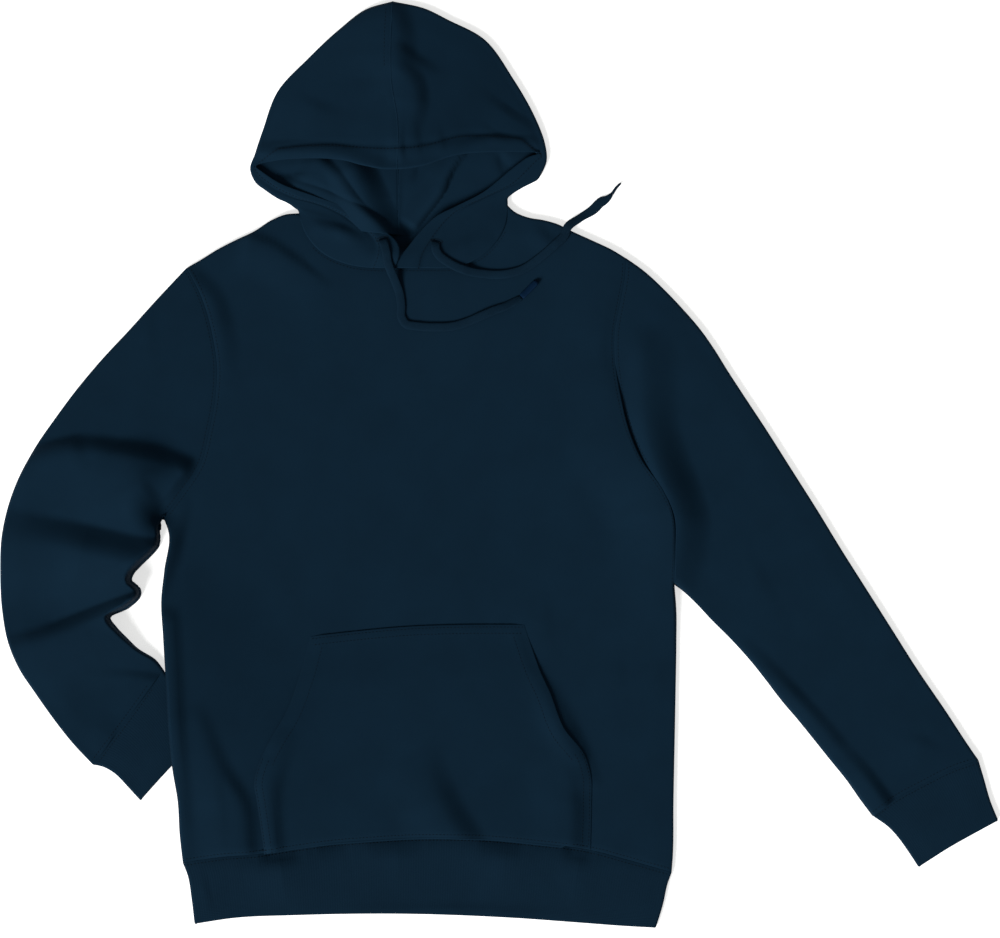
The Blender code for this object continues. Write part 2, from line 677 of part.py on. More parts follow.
def hood_half(name, table, crown_shift, neck_halves, finish, collection):
    """Half of the hood, from its face edge round the side fold to the centre seam beneath."""
    lines = np.array(table, float)
    spread = smooth_line(lines)
    rows = along_index(spread, HOOD_LINES)
    face, lip, fold, seam_y = rows[:, :2], rows[:, 2], rows[:, 3:5], rows[:, 5]
    crown = smooth_line(CROWN_SEAM)
    back = smooth_line(HOOD_BACK_SEAM)
    target = np.stack([np.interp(seam_y, back[:, 1], back[:, 0]), seam_y], axis=1)
    neck_top, neck_under = neck_halves
    plan, walls, rises = [], [], []
    for i in range(HOOD_LINES):
        v = i / (HOOD_LINES - 1)
        top_run = fold[i] - face[i]
        long = float(np.linalg.norm(top_run))
        near = EDGE_RADIUS * (1 - math.cos(math.pi / 4))
        ends = np.array([EDGE_RADIUS, near, 0.0]) / long
        shares = np.concatenate([np.linspace(0, 1 - ends[0], HOOD_TOP + 1)[:-1], 1 - ends])
        if CASING_WIDTH / long < shares[2]:
            shares[1] = CASING_WIDTH / long
        if i == 0:
            neck_bow = neck_top - (face[0] + shares[:, None] * top_run)
        crown_bow = along(crown, shares) - (crown[0] + shares[:, None] * (crown[-1] - crown[0]))
        top = face[i] + shares[:, None] * top_run
        top = top + (1 - v) ** NECK_BOW_FADE * neck_bow + v**CROWN_BOW_FADE * crown_bow
        under_run = target[i] - fold[i]
        under_long = float(np.linalg.norm(under_run))
        starts = np.array([near, EDGE_RADIUS]) / under_long
        under_shares = np.concatenate([starts, stretch(starts[-1], 1.0, HOOD_UNDER)])
        if i == 0:
            back_bow = neck_under - (fold[0] + under_shares[:, None] * under_run)
        under = fold[i] + under_shares[:, None] * under_run + (1 - v) ** BACK_BOW_FADE * back_bow
        plan.append(np.concatenate([top, under]))
        falling = np.clip(1 - shares, 0, 1) ** LIP_FALL
        rises.append(np.concatenate([(lip[i] - LAID_HEIGHT - PUFF) * falling, np.zeros(len(under))]))
        wall = np.full(len(top) + len(under), FLEECE)
        wall[:2] = CASING
        walls.append(wall)
    plan, walls, rises = np.array(plan), np.array(walls), np.array(rises)
    plan[0, 0, 0] += crown_shift
    plan[-1, :, 0] += crown_shift
    plan[:-1, -1, 0] += crown_shift
    shift_from_seam(plan)
    sides = np.full(plan.shape[:2], -1.0)
    fold_column = HOOD_TOP + 2
    sides[:, : fold_column + 1] = 1.0
    sides[:, fold_column] = 0.0
    silhouette = fold if np.cross(fold[1] - fold[0], face[0] - fold[0]) > 0 else fold[::-1]
    outer, inner = walls_from(
        plan, sides, [silhouette], (CROWN_FOLDS, HOOD_LINING_FOLDS), walls, rises=rises
    )
    return cloth(name, outer, inner, False, finish, collection)


def along_index(line, count):
    """Rows of a dense table at evenly spaced indices."""
    at = np.linspace(0, len(line) - 1, count)
    index = np.arange(len(line))
    return np.stack([np.interp(at, index, line[:, k]) for k in range(line.shape[1])], axis=1)


def toward_notch(nodes):
    """A neck seam's nodes from the centre to the notch, with two close ones for the rounded fold."""
    back = unit(nodes[-2] - nodes[-1])
    near = EDGE_RADIUS * (1 - math.cos(math.pi / 4))
    return np.concatenate([nodes[:-1], [nodes[-1] + EDGE_RADIUS * back, nodes[-1] + near * back, nodes[-1]]])


def hood(front, back, finish, collection):
    """Both halves, which meet the two panels at their neck nodes."""
    middle, back_middle = NECK_COLUMNS // 2, BACK_NECK_COLUMNS // 2
    right = (toward_notch(front[middle::-1]), toward_notch(back[back_middle::-1])[-2::-1])
    left = (toward_notch(front[middle:]), toward_notch(back[back_middle:])[-2::-1])
    hood_half("hood_right", HOOD_RIGHT, -SEAM_GAP / 2, right, finish, collection)
    hood_half("hood_left", HOOD_LEFT, SEAM_GAP / 2, left, finish, collection)


# Pocket.


def opening_distance(p, spots):
    corners = [np.array(spot, float) for spot in spots]
    return min(segment_distance(p, a, b)[0] for a, b in zip(corners, corners[1:]))


def pocket(front_outer, finish, collection, cutters):
    """A patch made from the front panel's points, moved out, cut to the pocket's outline."""
    rows = int(np.argmax(front_outer[:, front_outer.shape[1] // 2, 1] > POCKET_TOP)) + 1
    under = front_outer[:rows].copy()
    for i in range(rows):
        for j in range(under.shape[1]):
            p = under[i, j, :2]
            near = min(opening_distance(p, POCKET_LEFT_OPENING), opening_distance(p, POCKET_RIGHT_OPENING))
            under[i, j, 2] += SEAM_GAP + OPENING_LIFT * math.exp(-((near / OPENING_WIDTH) ** 2))
    first, last = (int(np.argmax(under[0, :, 0] > side)) for side in POCKET_PATCH_SIDES)
    under = under[:, first:last]
    upper = under + np.array([0.0, 0.0, FLEECE])
    made = cloth("pocket", upper, under, False, finish, collection)
    outline = bpy.data.meshes.new("pocket_outline")
    shaped = bmesh.new()
    corners = [shaped.verts.new((x * MM, y * MM, -PRISM_HEIGHT / 2 * MM)) for x, y in POCKET_OUTLINE]
    face = shaped.faces.new(corners)
    raised = bmesh.ops.extrude_face_region(shaped, geom=[face])["geom"]
    moved = [item for item in raised if isinstance(item, bmesh.types.BMVert)]
    bmesh.ops.translate(shaped, verts=moved, vec=(0, 0, PRISM_HEIGHT * MM))
    bmesh.ops.recalc_face_normals(shaped, faces=shaped.faces)
    shaped.to_mesh(outline)
    shaped.free()
    cutter = bpy.data.objects.new("pocket_outline", outline)
    cutters.objects.link(cutter)
    cutter.hide_render = True
    cutter.display_type = "WIRE"
    cut = made.modifiers.new("outline", "BOOLEAN")
    cut.operation = "INTERSECT"
    cut.object = cutter
    return made


# Cord.


def surface_tree(names):
    """The surface that the cord lies on, for finding its height."""
    points, faces = [], []
    graph = bpy.context.evaluated_depsgraph_get()
    for name in names:
        shaped = bpy.data.objects[name].evaluated_get(graph)
        mesh = shaped.to_mesh()
        start = len(points)
        points += [v.co.copy() for v in mesh.vertices]
        faces += [[start + k for k in face.vertices] for face in mesh.polygons]
        shaped.to_mesh_clear()
    return BVHTree.FromPolygons(points, faces)


def height_at(tree, x, y):
    """The highest surface at a plan point in millimetres, or the table."""
    found, _, _, _ = tree.ray_cast(Vector((x * MM, y * MM, 1.0)), Vector((0, 0, -1)))
    return found.z / MM if found else 0.0


def cord_path(tree, route):
    """The cord's centre line, lying on whatever is under it and eased between the high places."""
    line = smooth_line(route)
    count = round(length_of(line) / CORD_STEP) + 1
    plan = along(line, np.linspace(0, 1, count))
    across = seam_normals(plan)
    rest = []
    for p, side in zip(plan, across):
        forward = np.array([side[1], -side[0]])
        probes = [
            p + a * CORD_WIDTH / 2 * side + b * CORD_PROBE * forward for a in (-1, 0, 1) for b in (-1, 0, 1)
        ]
        rest.append(max(height_at(tree, *probe) for probe in probes))
    lowest = np.array(rest) + CORD_CLEARANCE + CORD_THICKNESS / 2
    height = lowest.copy()
    for _ in range(CORD_EASING):
        height[1:-1] = np.maximum(lowest[1:-1], (height[:-2] + 2 * height[1:-1] + height[2:]) / 4)
    return np.column_stack([plan, height])


def cord(name, path, finish, collection):
    """A flat woven cord: the bevel rounds its edges, and it is tilted to lie flat."""
    data = bpy.data.curves.new(name, "CURVE")
    data.dimensions = "3D"
    data.twist_mode = "Z_UP"
    data.bevel_depth = CORD_THICKNESS / 2 * MM
    data.extrude = (CORD_WIDTH - CORD_THICKNESS) / 2 * MM
    data.bevel_resolution = 2
    data.use_fill_caps = True
    spline = data.splines.new("POLY")
    spline.points.add(len(path) - 1)
    for point, place in zip(spline.points, path):
        point.co = (*(place * MM), 1.0)
        point.tilt = math.pi / 2
    return add_object(name, data, finish, collection)


def cord_tip(name, path, tip, tree, finish, collection):
    """The wrapped tip that goes on from the cord's end."""
    run = path[-1] - path[-2]
    run[2] = 0.0
    run = unit(run)
    centre = path[-1] + run * (tip.length / 2 + TIP_GAP)
    side = np.array([-run[1], run[0], 0.0])
    probes = [
        centre + a * tip.length / 2 * run + b * tip.width / 2 * side for a in (-1, 0, 1) for b in (-1, 0, 1)
    ]
    rest = max(height_at(tree, probe[0], probe[1]) for probe in probes)
    centre[2] = rest + CORD_CLEARANCE + tip.thickness / 2
    mesh = bpy.data.meshes.new(name)
    shaped = bmesh.new()
    turn = Matrix.Rotation(math.pi / 2, 4, "Y")
    bmesh.ops.create_cone(
        shaped, cap_ends=True, segments=TIP_SIDES, radius1=0.5, radius2=TIP_TAPER / 2, depth=1.0, matrix=turn
    )
    lift = np.array([0.0, 0.0, tip.thickness])
    for vert in shaped.verts:
        local = vert.co
        place = centre + local.x * tip.length * run + local.y * tip.width * side + local.z * lift
        vert.co = Vector(place * MM)
    bmesh.ops.recalc_face_normals(shaped, faces=shaped.faces)
    shaped.to_mesh(mesh)
    shaped.free()
    mesh.shade_smooth()
    mesh.set_sharp_from_angle(angle=SMOOTH_ANGLE)
    return add_object(name, mesh, finish, collection)


def build():
    for old in list(bpy.data.objects):
        bpy.data.objects.remove(old, do_unlink=True)
    parts = bpy.data.collections.new(COLLECTION)
    cutters = bpy.data.collections.new("cutters")
    bpy.context.scene.collection.children.link(parts)
    bpy.context.scene.collection.children.link(cutters)
    garment = bpy.data.objects.new(GARMENT, None)
    parts.objects.link(garment)
    front_neck = neck_nodes(NECK_FRONT, NECK_FRONT_CENTRE, NECK_COLUMNS)
    back_neck = neck_nodes(NECK_BACK, NECK_BACK_CENTRE, BACK_NECK_COLUMNS)
    front_outer, front_shares = body_panel(
        "front_panel", front_neck, ARMHOLE_TOP, SHOULDER_COLUMNS, 1, FLEECE_FINISH, parts
    )
    _, back_shares = body_panel(
        "back_panel", back_neck, ARMHOLE_UNDER, BACK_SHOULDER_COLUMNS, -1, FLEECE_FINISH, parts
    )
    sleeve_left(FLEECE_FINISH, parts)
    sleeve_right(FLEECE_FINISH, parts)
    cuff("cuff_left", LEFT_CUFF_UPPER, LEFT_CUFF_LOWER, LEFT_CUFF_SEAM, LEFT_CUFF_END, RIB_FINISH, parts)
    cuff(
        "cuff_right", RIGHT_CUFF_OUTER, RIGHT_CUFF_INNER, RIGHT_CUFF_SEAM, RIGHT_CUFF_END, RIB_FINISH, parts
    )
    waistband((front_shares, back_shares), RIB_FINISH, parts)
    hood(front_neck, back_neck, FLEECE_FINISH, parts)
    pocket(front_outer, FLEECE_FINISH, parts, cutters)
    bpy.context.view_layer.update()
    tree = surface_tree(["front_panel", "pocket", "hood_left", "hood_right", "sleeve_left"])
    right_path = cord_path(tree, CORD_RIGHT_ROUTE)
    left_path = cord_path(tree, CORD_LEFT_ROUTE)
    cord("cord_right", right_path, CORD_FINISH, parts)
    cord("cord_left", left_path, CORD_FINISH, parts)
    cord_tip("cord_tip_right", right_path, TIP_RIGHT, tree, BLUE_TIP_FINISH, parts)
    cord_tip("cord_tip_left", left_path, TIP_LEFT, tree, DARK_TIP_FINISH, parts)


build()
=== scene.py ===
"""Looks of a pullover hoodie lying flat, face up: cloth, rib, sewing, cord ends, and a plain studio.

It is laid out as an add-on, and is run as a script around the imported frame. Tables are in millimetres in
the frame's own axes, and turned to metres where a mesh is made. Left and right are the wearer's."""

import json
import math
from collections import namedtuple

import bpy
import numpy as np
from bpy.props import FloatProperty, FloatVectorProperty, PointerProperty
from bpy.types import Operator, Panel, PropertyGroup
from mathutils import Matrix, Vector
from mathutils.bvhtree import BVHTree

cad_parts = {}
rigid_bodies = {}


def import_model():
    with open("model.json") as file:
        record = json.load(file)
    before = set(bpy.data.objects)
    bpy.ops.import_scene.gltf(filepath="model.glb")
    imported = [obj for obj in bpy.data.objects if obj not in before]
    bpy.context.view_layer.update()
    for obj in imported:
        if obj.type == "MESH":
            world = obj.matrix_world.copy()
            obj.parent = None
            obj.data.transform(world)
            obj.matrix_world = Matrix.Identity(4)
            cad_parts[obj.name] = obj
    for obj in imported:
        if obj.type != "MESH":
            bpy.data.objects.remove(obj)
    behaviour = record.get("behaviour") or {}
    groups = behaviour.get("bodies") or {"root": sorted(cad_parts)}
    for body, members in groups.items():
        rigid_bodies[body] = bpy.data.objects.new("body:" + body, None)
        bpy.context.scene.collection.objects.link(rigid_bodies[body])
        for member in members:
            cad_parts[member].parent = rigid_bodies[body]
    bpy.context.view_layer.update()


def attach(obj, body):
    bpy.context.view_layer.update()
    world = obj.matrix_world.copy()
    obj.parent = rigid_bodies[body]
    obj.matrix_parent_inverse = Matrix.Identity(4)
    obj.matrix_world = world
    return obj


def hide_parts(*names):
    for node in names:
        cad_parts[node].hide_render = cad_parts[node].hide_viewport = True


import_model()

bl_info = {
    "name": "Pullover Hoodie Laid Flat",
    "version": (1, 0, 0),
    "blender": (4, 5, 0),
    "location": "View3D > Sidebar > Hoodie",
    "description": "Makes the cloth, sewing, cords and studio of a pullover hoodie that lies flat",
    "category": "Object",
}

MM = 0.001
BODY = "root"
BLOCK = 4000  # points measured at a time, to save memory

# How the layers lie. A laid layer's folded edge is a quarter round, and its crown rises a little above it.
LAID_HEIGHT = 7.6
EDGE_RADIUS = LAID_HEIGHT / 2
EDGE_SHARE = 1.0
EDGE_FULLNESS = 3  # 2 is a quarter circle, and more is fuller
EDGE_CLIMB = 6.0  # steepest climb of a crease behind a folded edge
SOFT_EDGE = 24.0  # how far behind a folded edge the loft has risen
CREASE_EDGE = 2.6  # how far behind it the creases have
PUFF = 0.8  # loft of a layer's crown
LEAST_CROWN = 1.6  # no seam or groove sinks the crown below this
QUARTER = tuple(EDGE_RADIUS * (1 - math.cos(math.radians(a))) for a in (0, 22.5, 45, 67.5, 90))
RIM = (0.0, 0.35, 0.8, 1.4)  # close rows at a raw rim, which is rounded
CLOSED_RIM = (0.0,)  # one that another grid goes on from
ALL_RIMS = ("first_row", "last_row", "first_column", "last_column")
END_RIMS = ALL_RIMS[:2]
SEAM_ROUNDING = 0.35  # how far a raw rim is rounded, where 1 is a half round
LIP_ROUNDING = 0.6
LEAST_RIM = 0.12  # least share of the wall that is left there

# How pieces meet at seams.
SEAM_LAP = 0.8  # how far a piece runs on past its seam
LAP_ROWS = 6  # how many rows back its direction is taken from
SEAM_DIP_WIDTH = 3.2
DIPS = {"armhole": 0.3, "bent_armhole": 0.3, "waist": 0.8, "neck": 0.15, "crown": 0.3, "cuff": 0.4}
BODY_BOW_FADE = 4  # a seam's bow fades across the piece with this power
TUBE_BOW_FADE = 3
ARMHOLE_LEVEL = 13.0  # beside the bent armhole's lower part, up to y = LEVEL_TOP, no crease rises
LEVEL_TOP = 40.0

# How the body rises over the cuff that lies beneath it.
CUFF_LIFT = 9.6
LIFT_MARGIN = 2.0
LIFT_SLOPE = 130.0

Crease = namedtuple("Crease", "route start end height width run sharp")
Spot = namedtuple("Spot", "x y")

# Creases rise from nothing round the bent sleeve's underarm, where both cloths meet level.
UNDERARM = Spot(-340, -46)
UNDERARM_REACH = 43.0

# Edges of the body, each one with the cloth on its left hand.
SIDE_RIGHT = [  # x, y: armpit down to the waistband
    (-345, -54), (-340, -67), (-344, -108), (-347, -138), (-345, -174), (-343, -205), (-335, -313),
    (-330, -343), (-328, -379), (-325, -407),
]
SIDE_LEFT = [  # x, y: waistband up to the sleeve's underside
    (176, -417), (177, -405), (178, -344), (180, -241), (181, -179), (181, -150), (179, -123),
]
SHOULDER_LEFT = [  # x, y: shoulder point to neck
    (129, 212), (116, 220), (95, 230), (73, 240), (59, 247), (45, 251), (28, 254), (13, 261), (8, 266),
]
SHOULDER_RIGHT = [  # x, y: neck to shoulder point
    (-206, 258), (-219, 257), (-234, 251), (-251, 240), (-272, 230), (-291, 220), (-307, 210), (-321, 202),
]
ARMHOLE_RIGHT = [  # x, y: shoulder point to armpit
    (-321, 202), (-314, 190), (-302, 162), (-294, 131), (-290, 104), (-292, 65), (-298, 34), (-306, 2),
    (-325, -28), (-345, -54),
]
ARMHOLE_LEFT = [  # x, y: shoulder point to armpit, then down the side that lies over the sleeve
    (129, 212), (128, 192), (124, 170), (118, 134), (119, 98), (124, 68), (132, 37), (146, 5),
    (167, -26), (178, -50), (180, -86), (179, -123),
]
NECK_FRONT = [  # x, y: right side of the neck to the left
    (-206, 258), (-199, 238), (-182, 218), (-156, 206), (-127, 202), (-107, 202), (-75, 202),
    (-47, 203), (-23, 212), (-5, 228), (5, 246), (8, 266),
]
NECK_BACK = [  # x, y
    (-206, 258), (-170, 246), (-130, 239), (-105, 236), (-70, 239), (-30, 249), (8, 266),
]
NECK_FRONT_CENTRE = 0.454
NECK_BACK_CENTRE = 0.468
WAIST_SEAM = [  # x, y: right to left
    (-325, -407), (-284, -401), (-246, -398), (-208, -392), (-171, -387), (-133, -384), (-77, -381),
    (-21, -382), (36, -387), (92, -394), (130, -404), (176, -417),
]
HEM = [  # x, y: right to left
    (-313, -469), (-273, -463), (-208, -460), (-77, -459), (17, -463), (85, -468), (125, -471), (160, -473),
]
BAND_RIGHT = [(-325, -407), (-320, -420), (-316, -444), (-313, -469)]
BAND_LEFT = [(176, -417), (172, -428), (167, -450), (160, -473)]

# Left sleeve: its edges from the shoulder and the armpit to the cuff.
LEFT_UPPER = [
    (129, 212), (146, 200), (169, 179), (188, 159), (206, 138), (220, 118), (233, 97), (246, 77),
    (273, 36), (299, -5), (325, -46), (350, -87), (376, -128), (402, -169), (428, -210), (456, -251),
    (483, -292), (490, -302),
]
LEFT_LOWER = [
    (179, -123), (186, -128), (197, -138), (217, -159), (237, -179), (256, -200), (272, -220),
    (288, -241), (305, -261), (322, -282), (338, -302), (355, -323), (369, -343), (381, -359),
]
LEFT_CUFF_SEAM = [(490, -302), (461, -312), (439, -323), (401, -344), (381, -359)]
LEFT_CUFF_END = [(510, -363), (486, -376), (461, -390), (428, -411)]
LEFT_CUFF_UPPER = [(490, -302), (496, -322), (502, -343), (510, -363)]
LEFT_CUFF_LOWER = [(381, -359), (399, -372), (408, -382), (416, -393), (428, -411)]

# Right sleeve, bent at the elbow so that its cuff goes under the body's side.
RIGHT_RUNGS = [  # outer x, y, inner x, y, from the armhole to the cuff
    (-321, 202, -345, -54), (-352, 169, -346, -56), (-380, 138, -347.5, -59), (-408, 108, -349.5, -64),
    (-434, 77, -349, -72), (-457, 46, -351, -84), (-478, 15, -369, -103), (-494, -15, -376, -111),
    (-505, -46, -378, -119), (-511, -77, -370, -126), (-512, -108, -369, -134), (-510, -149, -382, -146),
    (-503, -185, -400, -156), (-492, -210, -393, -167), (-478, -231, -383, -177), (-456, -262, -369, -189),
    (-436, -287, -353, -199), (-417, -307, -345, -209),
]
RIGHT_CUFF_SEAM = [(-417, -307), (-381, -259), (-345, -209)]
RIGHT_CUFF_END = [(-369, -343), (-338, -309), (-305, -276)]
RIGHT_CUFF_OUTER = [(-417, -307), (-407, -309), (-396, -315), (-380, -331), (-369, -343)]
RIGHT_CUFF_INNER = [(-345, -209), (-325, -242), (-305, -276)]
HIDDEN_CUFF = [Spot(-343, -208), Spot(-305, -276), Spot(-337, -312)]

LEFT_COLUMNS = (58, 40)  # of the top layer and of the under one
RIGHT_COLUMNS = (60, 36)
SLEEVE_SAMPLES = 50
BENT_CELL = 0.8  # its cells are closer, by this share
RIB_CELL = 4.5
RIB_POINTS = 4  # columns of the grid in each rib
RIB_EDGE = 4.0  # the ribs rise from nothing at the band's ends

# Hood halves: each line runs from the face edge over the top layer, round the side fold and along the
# under layer to the centre seam. The first lies on the neck seam and the last on the centre seam.
HOOD_RIGHT = [  # face x, y, lip height, fold x, y, centre seam y
    (-98, 203, 18, -206, 258, 236), (-97, 212, 21, -207, 261, 240), (-98, 222, 19, -210, 263, 246),
    (-127, 247, 12, -214, 266, 253), (-151, 261, 10.4, -219, 269, 261), (-191, 276, 9.6, -228, 273, 272),
    (-226, 289, 9.0, -240, 281, 284), (-243, 300, 8.6, -251, 290, 297), (-250, 306, 8.6, -256, 302, 313),
    (-231, 311, 12, -251, 319, 333), (-197, 313, 16, -243, 343, 359), (-162, 311, 21, -227, 384, 389),
    (-142, 306, 24, -198, 415, 420), (-125, 303, 26, -165, 446, 441), (-115, 302, 26, -137, 467, 454),
    (-105, 302, 26, -110, 475, 464),
]
HOOD_LEFT = [  # the same
    (-108, 203, 17, 8, 266, 236), (-104, 212, 17, 8, 269, 240), (-95, 223, 15, 8, 273, 246),
    (-82, 239, 13, 12, 277, 253), (-65, 255, 12, 18, 281, 261), (-47, 264, 10.5, 25, 285, 269),
    (-18, 279, 9.5, 33, 289, 279), (13, 304, 9.5, 40, 294, 290), (28, 315, 9, 45, 303, 302),
    (40, 319, 8.8, 48, 312, 318), (21, 320, 12, 46, 330, 339), (-1, 320, 16, 37, 354, 362),
    (-33, 318, 21, 14, 395, 391), (-53, 314, 24, -16, 436, 421), (-77, 306, 26, -53, 456, 441),
    (-92, 303, 26, -78, 468, 454), (-105, 302, 26, -110, 475, 464),
]
CROWN_SEAM = [(-105, 302), (-105, 354), (-111, 390), (-112, 420), (-110, 475)]
HOOD_BACK_SEAM = [(-105, 236), (-105, 354), (-108, 420), (-110, 464)]
CASING_WIDTH = 22.0  # the hem that is turned round the cord
CASING_STEPS = np.array([0.0, 0.5, 1.2, 2.2, 4.0, 7.0, 11.0, 15.0, 18.0, 20.0, 21.0, 22.0, 23.5, 25.5, 28.0])
CASING_ROWS = (10,)  # the columns of the grid that carry its stitches
CASING_RISE = 1.1
CASING_GROOVE = 0.6
CASING_GROOVE_WIDTH = 4.2
CASING_EDGE = (3.0, 6.0)  # how far past its width it ends, and over what distance it falls
CASING_FULL = 8  # it stands out less where it is narrower than this
GROOVE_OFFSET = 1.5
FOLD_FADE = 12  # the rise ends this far before the fold
LAP_FADE = 8  # its lap on the neck seam fades over this, to the fold
NECK_POINTS = 90
CASING_SHARE = 0.55  # it narrows where the top layer is not even twice as wide
TOP_COLUMNS = 34
UNDER_COLUMNS = 58
LIP_FALL = 1.2
NOTCH_WALL = 0.9  # thickness at the notch, where the fold meets the neck seam
NOTCH_REACH = 20.0
NARROW_WALL = (26.0, 0.4)  # the wall thins below this width of the top layer, down to this share
NECK_BOW_FADE = 18
NOTCH_BOW_FADE = 60
BACK_BOW_FADE = 4
CROWN_BOW_FADE = 4
LINING_LIFT = 2.5  # the hood's under layer stands up inside it
LINING_FOOT = 240.0
LINING_RISE = (50.0, 52.0)  # from the fold inward, and from its foot up

# Creases: the cloth climbs a steep face, from its route to a crest on the route's left, and then falls
# gently over its run. Start and end are its strength there, and sharp is 1 where its foot is a hard line.
# One with no run is a groove or a rib of that height, alike on both sides.
CREASE_FADE = 1.2  # past each end it fades over this many widths
SHARP_FACE = 2.2  # power of the sharp face
ECHO = 0.4  # share of its height that shows on the layer beneath
BODY_CREASES = [
    Crease([(-342, -138), (-327, -100), (-319, -60), (-318, -2)], 0.6, 0.9, 9.0, 16, 12, 0.3),
    Crease([(-312, -398), (-314, -340), (-321, -250), (-324, -190), (-326, -158)],
           0.2, 0.8, 4.6, 12, 14, 0.2),
    Crease([(-246, -394), (-252, -345), (-275, -305), (-296, -256)], 1.1, 0.45, 4.4, 15, 24, 0.2),
    Crease([(-276, -392), (-280, -340), (-290, -290)], 0.8, 0.2, 1.2, 10, 16, 0.3),
    Crease([(131, -238), (130, -212), (128, -186)], 0.2, 0.2, 0.8, 10, 18, 0.3),
    Crease([(103, -318), (92, -288), (77, -258), (62, -226)], 0.6, 0.3, 2.8, 12, 16, 0.2),
    Crease([(60, -190), (55, -160), (52, -128)], 0.2, 0.2, 0.8, 10, 18, 0.3),
    Crease([(-264, 92), (-270, 142), (-284, 181), (-303, 200)], 0.2, 0.9, 3.4, 18, 12, 0.2),
    Crease([(-174, 190), (-207, 216), (-235, 234), (-252, 240)], 0.2, 1.0, 3.0, 10, 20, 0.3),
    Crease([(62, 224), (52, 236), (44, 246)], 0.2, 0.6, 1.6, 8, 10, 0.2),
    Crease([(120, 80), (112, 110), (116, 150), (124, 180)], 0.3, 0.6, 0.8, 10, 18, 0.3),
    Crease([(85, -303), (62, -271), (47, -233), (38, -213)], 0.6, 0.4, 1.8, 8, 0, 0),
]
BODY_EDGE_CREASES = [
    Crease([(182, -200), (183, -86), (181, -50), (170, -22), (148, 8), (132, 50), (127, 110)],
           0.0, 0.0, 10.4, 5, 36, 0.5),
]
POCKET_CREASES = [
    Crease([(-14, -381), (-40, -339), (-62, -283)], 1.2, 0.1, 5.0, 24, 26, 0.3),
    Crease([(-220, -392), (-221, -330), (-207, -288)], 1.3, 0.3, 4.0, 13, 20, 0.3),
    Crease([(84, -388), (84, -340), (74, -296)], 1.0, 0.3, 3.2, 13, 22, 0.3),
]
SLEEVE_RIGHT_CREASES = [
    Crease([(-302, 0), (-318, 8), (-346, 19), (-388, 26), (-434, 30), (-476, 20), (-512, 2)],
           1.0, 0.3, 8.6, 19, 44, 0.6),
    Crease([(-440, 30), (-468, 22), (-500, 8)], 0.8, 0.8, 2.6, 10, 20, 0.5),
    Crease([(-336, -75), (-358, -74), (-396, -66), (-436, -57), (-470, -51), (-506, -44)],
           1.0, 0.3, 14.0, 31, 38, 0.5),
    Crease([(-358, -124), (-392, -135), (-432, -150), (-462, -162), (-505, -175)],
           1.2, 0.5, 10.5, 17, 36, 0.6),
    Crease([(-304, -48), (-320, -24), (-336, 2)], 1.1, 0.7, 12.0, 38, 60, 0.2),
    Crease([(-335, -50), (-344, -35), (-355, -20)], 1.2, 0.5, 5.0, 13, 16, 0.3),
    Crease([(-352, -118), (-380, -126), (-406, -136)], 1.2, 0.2, 5.4, 20, 10, 0.4),
    Crease([(-342, -214), (-378, -209), (-414, -209)], 0.9, 0.2, 1.8, 10, 20, 0.4),
    Crease([(-350, 108), (-350, 130), (-352, 160)], 0.2, 0.2, 1.0, 10, 18, 0.3),
    Crease([(-399, -294), (-394, -280), (-388, -266)], 0.6, 0.2, 1.4, 6, 10, 0.4),
    Crease([(-410, -286), (-404, -272), (-396, -262)], 0.3, 0.2, 0.9, 5, 10, 0.4),
]
SLEEVE_LEFT_CREASES = [
    Crease([(134, 76), (156, 112), (178, 150)], 0.3, 0.3, 1.5, 14, 22, 0.3),
    Crease([(203, -124), (212, -96), (217, -56), (209, -26), (192, 18), (184, 50), (184, 98)],
           0.7, 0.4, 11.0, 36, 12, 0.1),
    Crease([(412, -352), (398, -332), (378, -306), (352, -280)], 1.5, 0.3, 3.2, 14, 16, 0.2),
    Crease([(456, -286), (436, -276), (412, -272)], 0.2, 0.2, 1.4, 12, 24, 0.2),
    Crease([(352, -276), (310, -230), (262, -180)], 0.6, 0.3, 3.4, 13, 10, 0.2),
    Crease([(300, -162), (276, -110), (256, -68)], 0.2, 0.2, 0.9, 16, 26, 0.2),
]
CROWN_CREASES = [
    Crease([(-85, 420), (-86, 446), (-94, 470)], 0.8, 0.9, 5.0, 20, 50, 0.2),
    Crease([(-60, 408), (-78, 417), (-96, 430)], 0.2, 1.0, 3.0, 12, 26, 0.5),
    Crease([(-90, 322), (-78, 346), (-72, 374), (-78, 398), (-94, 414)], 0.4, 0.7, 5.0, 16, 30, 0.4),
    Crease([(-158, 366), (-182, 374), (-206, 386)], 0.2, 0.2, 1.4, 14, 22, 0.2),
    Crease([(-122, 315), (-158, 329), (-198, 333), (-244, 333)], 0.5, 0.9, 2.4, 13, 5, 0.2),
    Crease([(32, 338), (-8, 340), (-42, 333), (-76, 330)], 0.9, 0.4, 1.4, 8, 6, 0.3),
    Crease([(30, 354), (12, 366), (-10, 382)], 0.6, 0.3, 2.0, 11, 18, 0.4),
    Crease([(18, 330), (0, 340), (-16, 352)], 0.3, 0.2, 1.2, 9, 18, 0.3),
    Crease([(-140, 236), (-158, 246), (-184, 252)], 0.4, 0.5, 2.6, 9, 6, 0.4),
    Crease([(-20, 240), (-40, 232), (-60, 222)], 0.6, 0.3, 1.6, 9, 12, 0.3),
    Crease([(-96, 318), (-97, 330), (-96, 346)], 1.0, 0.4, 1.6, 6, 8, 0.3),
    Crease([(-78, 320), (-80, 334), (-82, 350)], 0.8, 0.2, 1.2, 7, 8, 0.3),
    Crease([(-54, 324), (-56, 334), (-60, 346)], 0.6, 0.2, 0.9, 6, 8, 0.3),
]
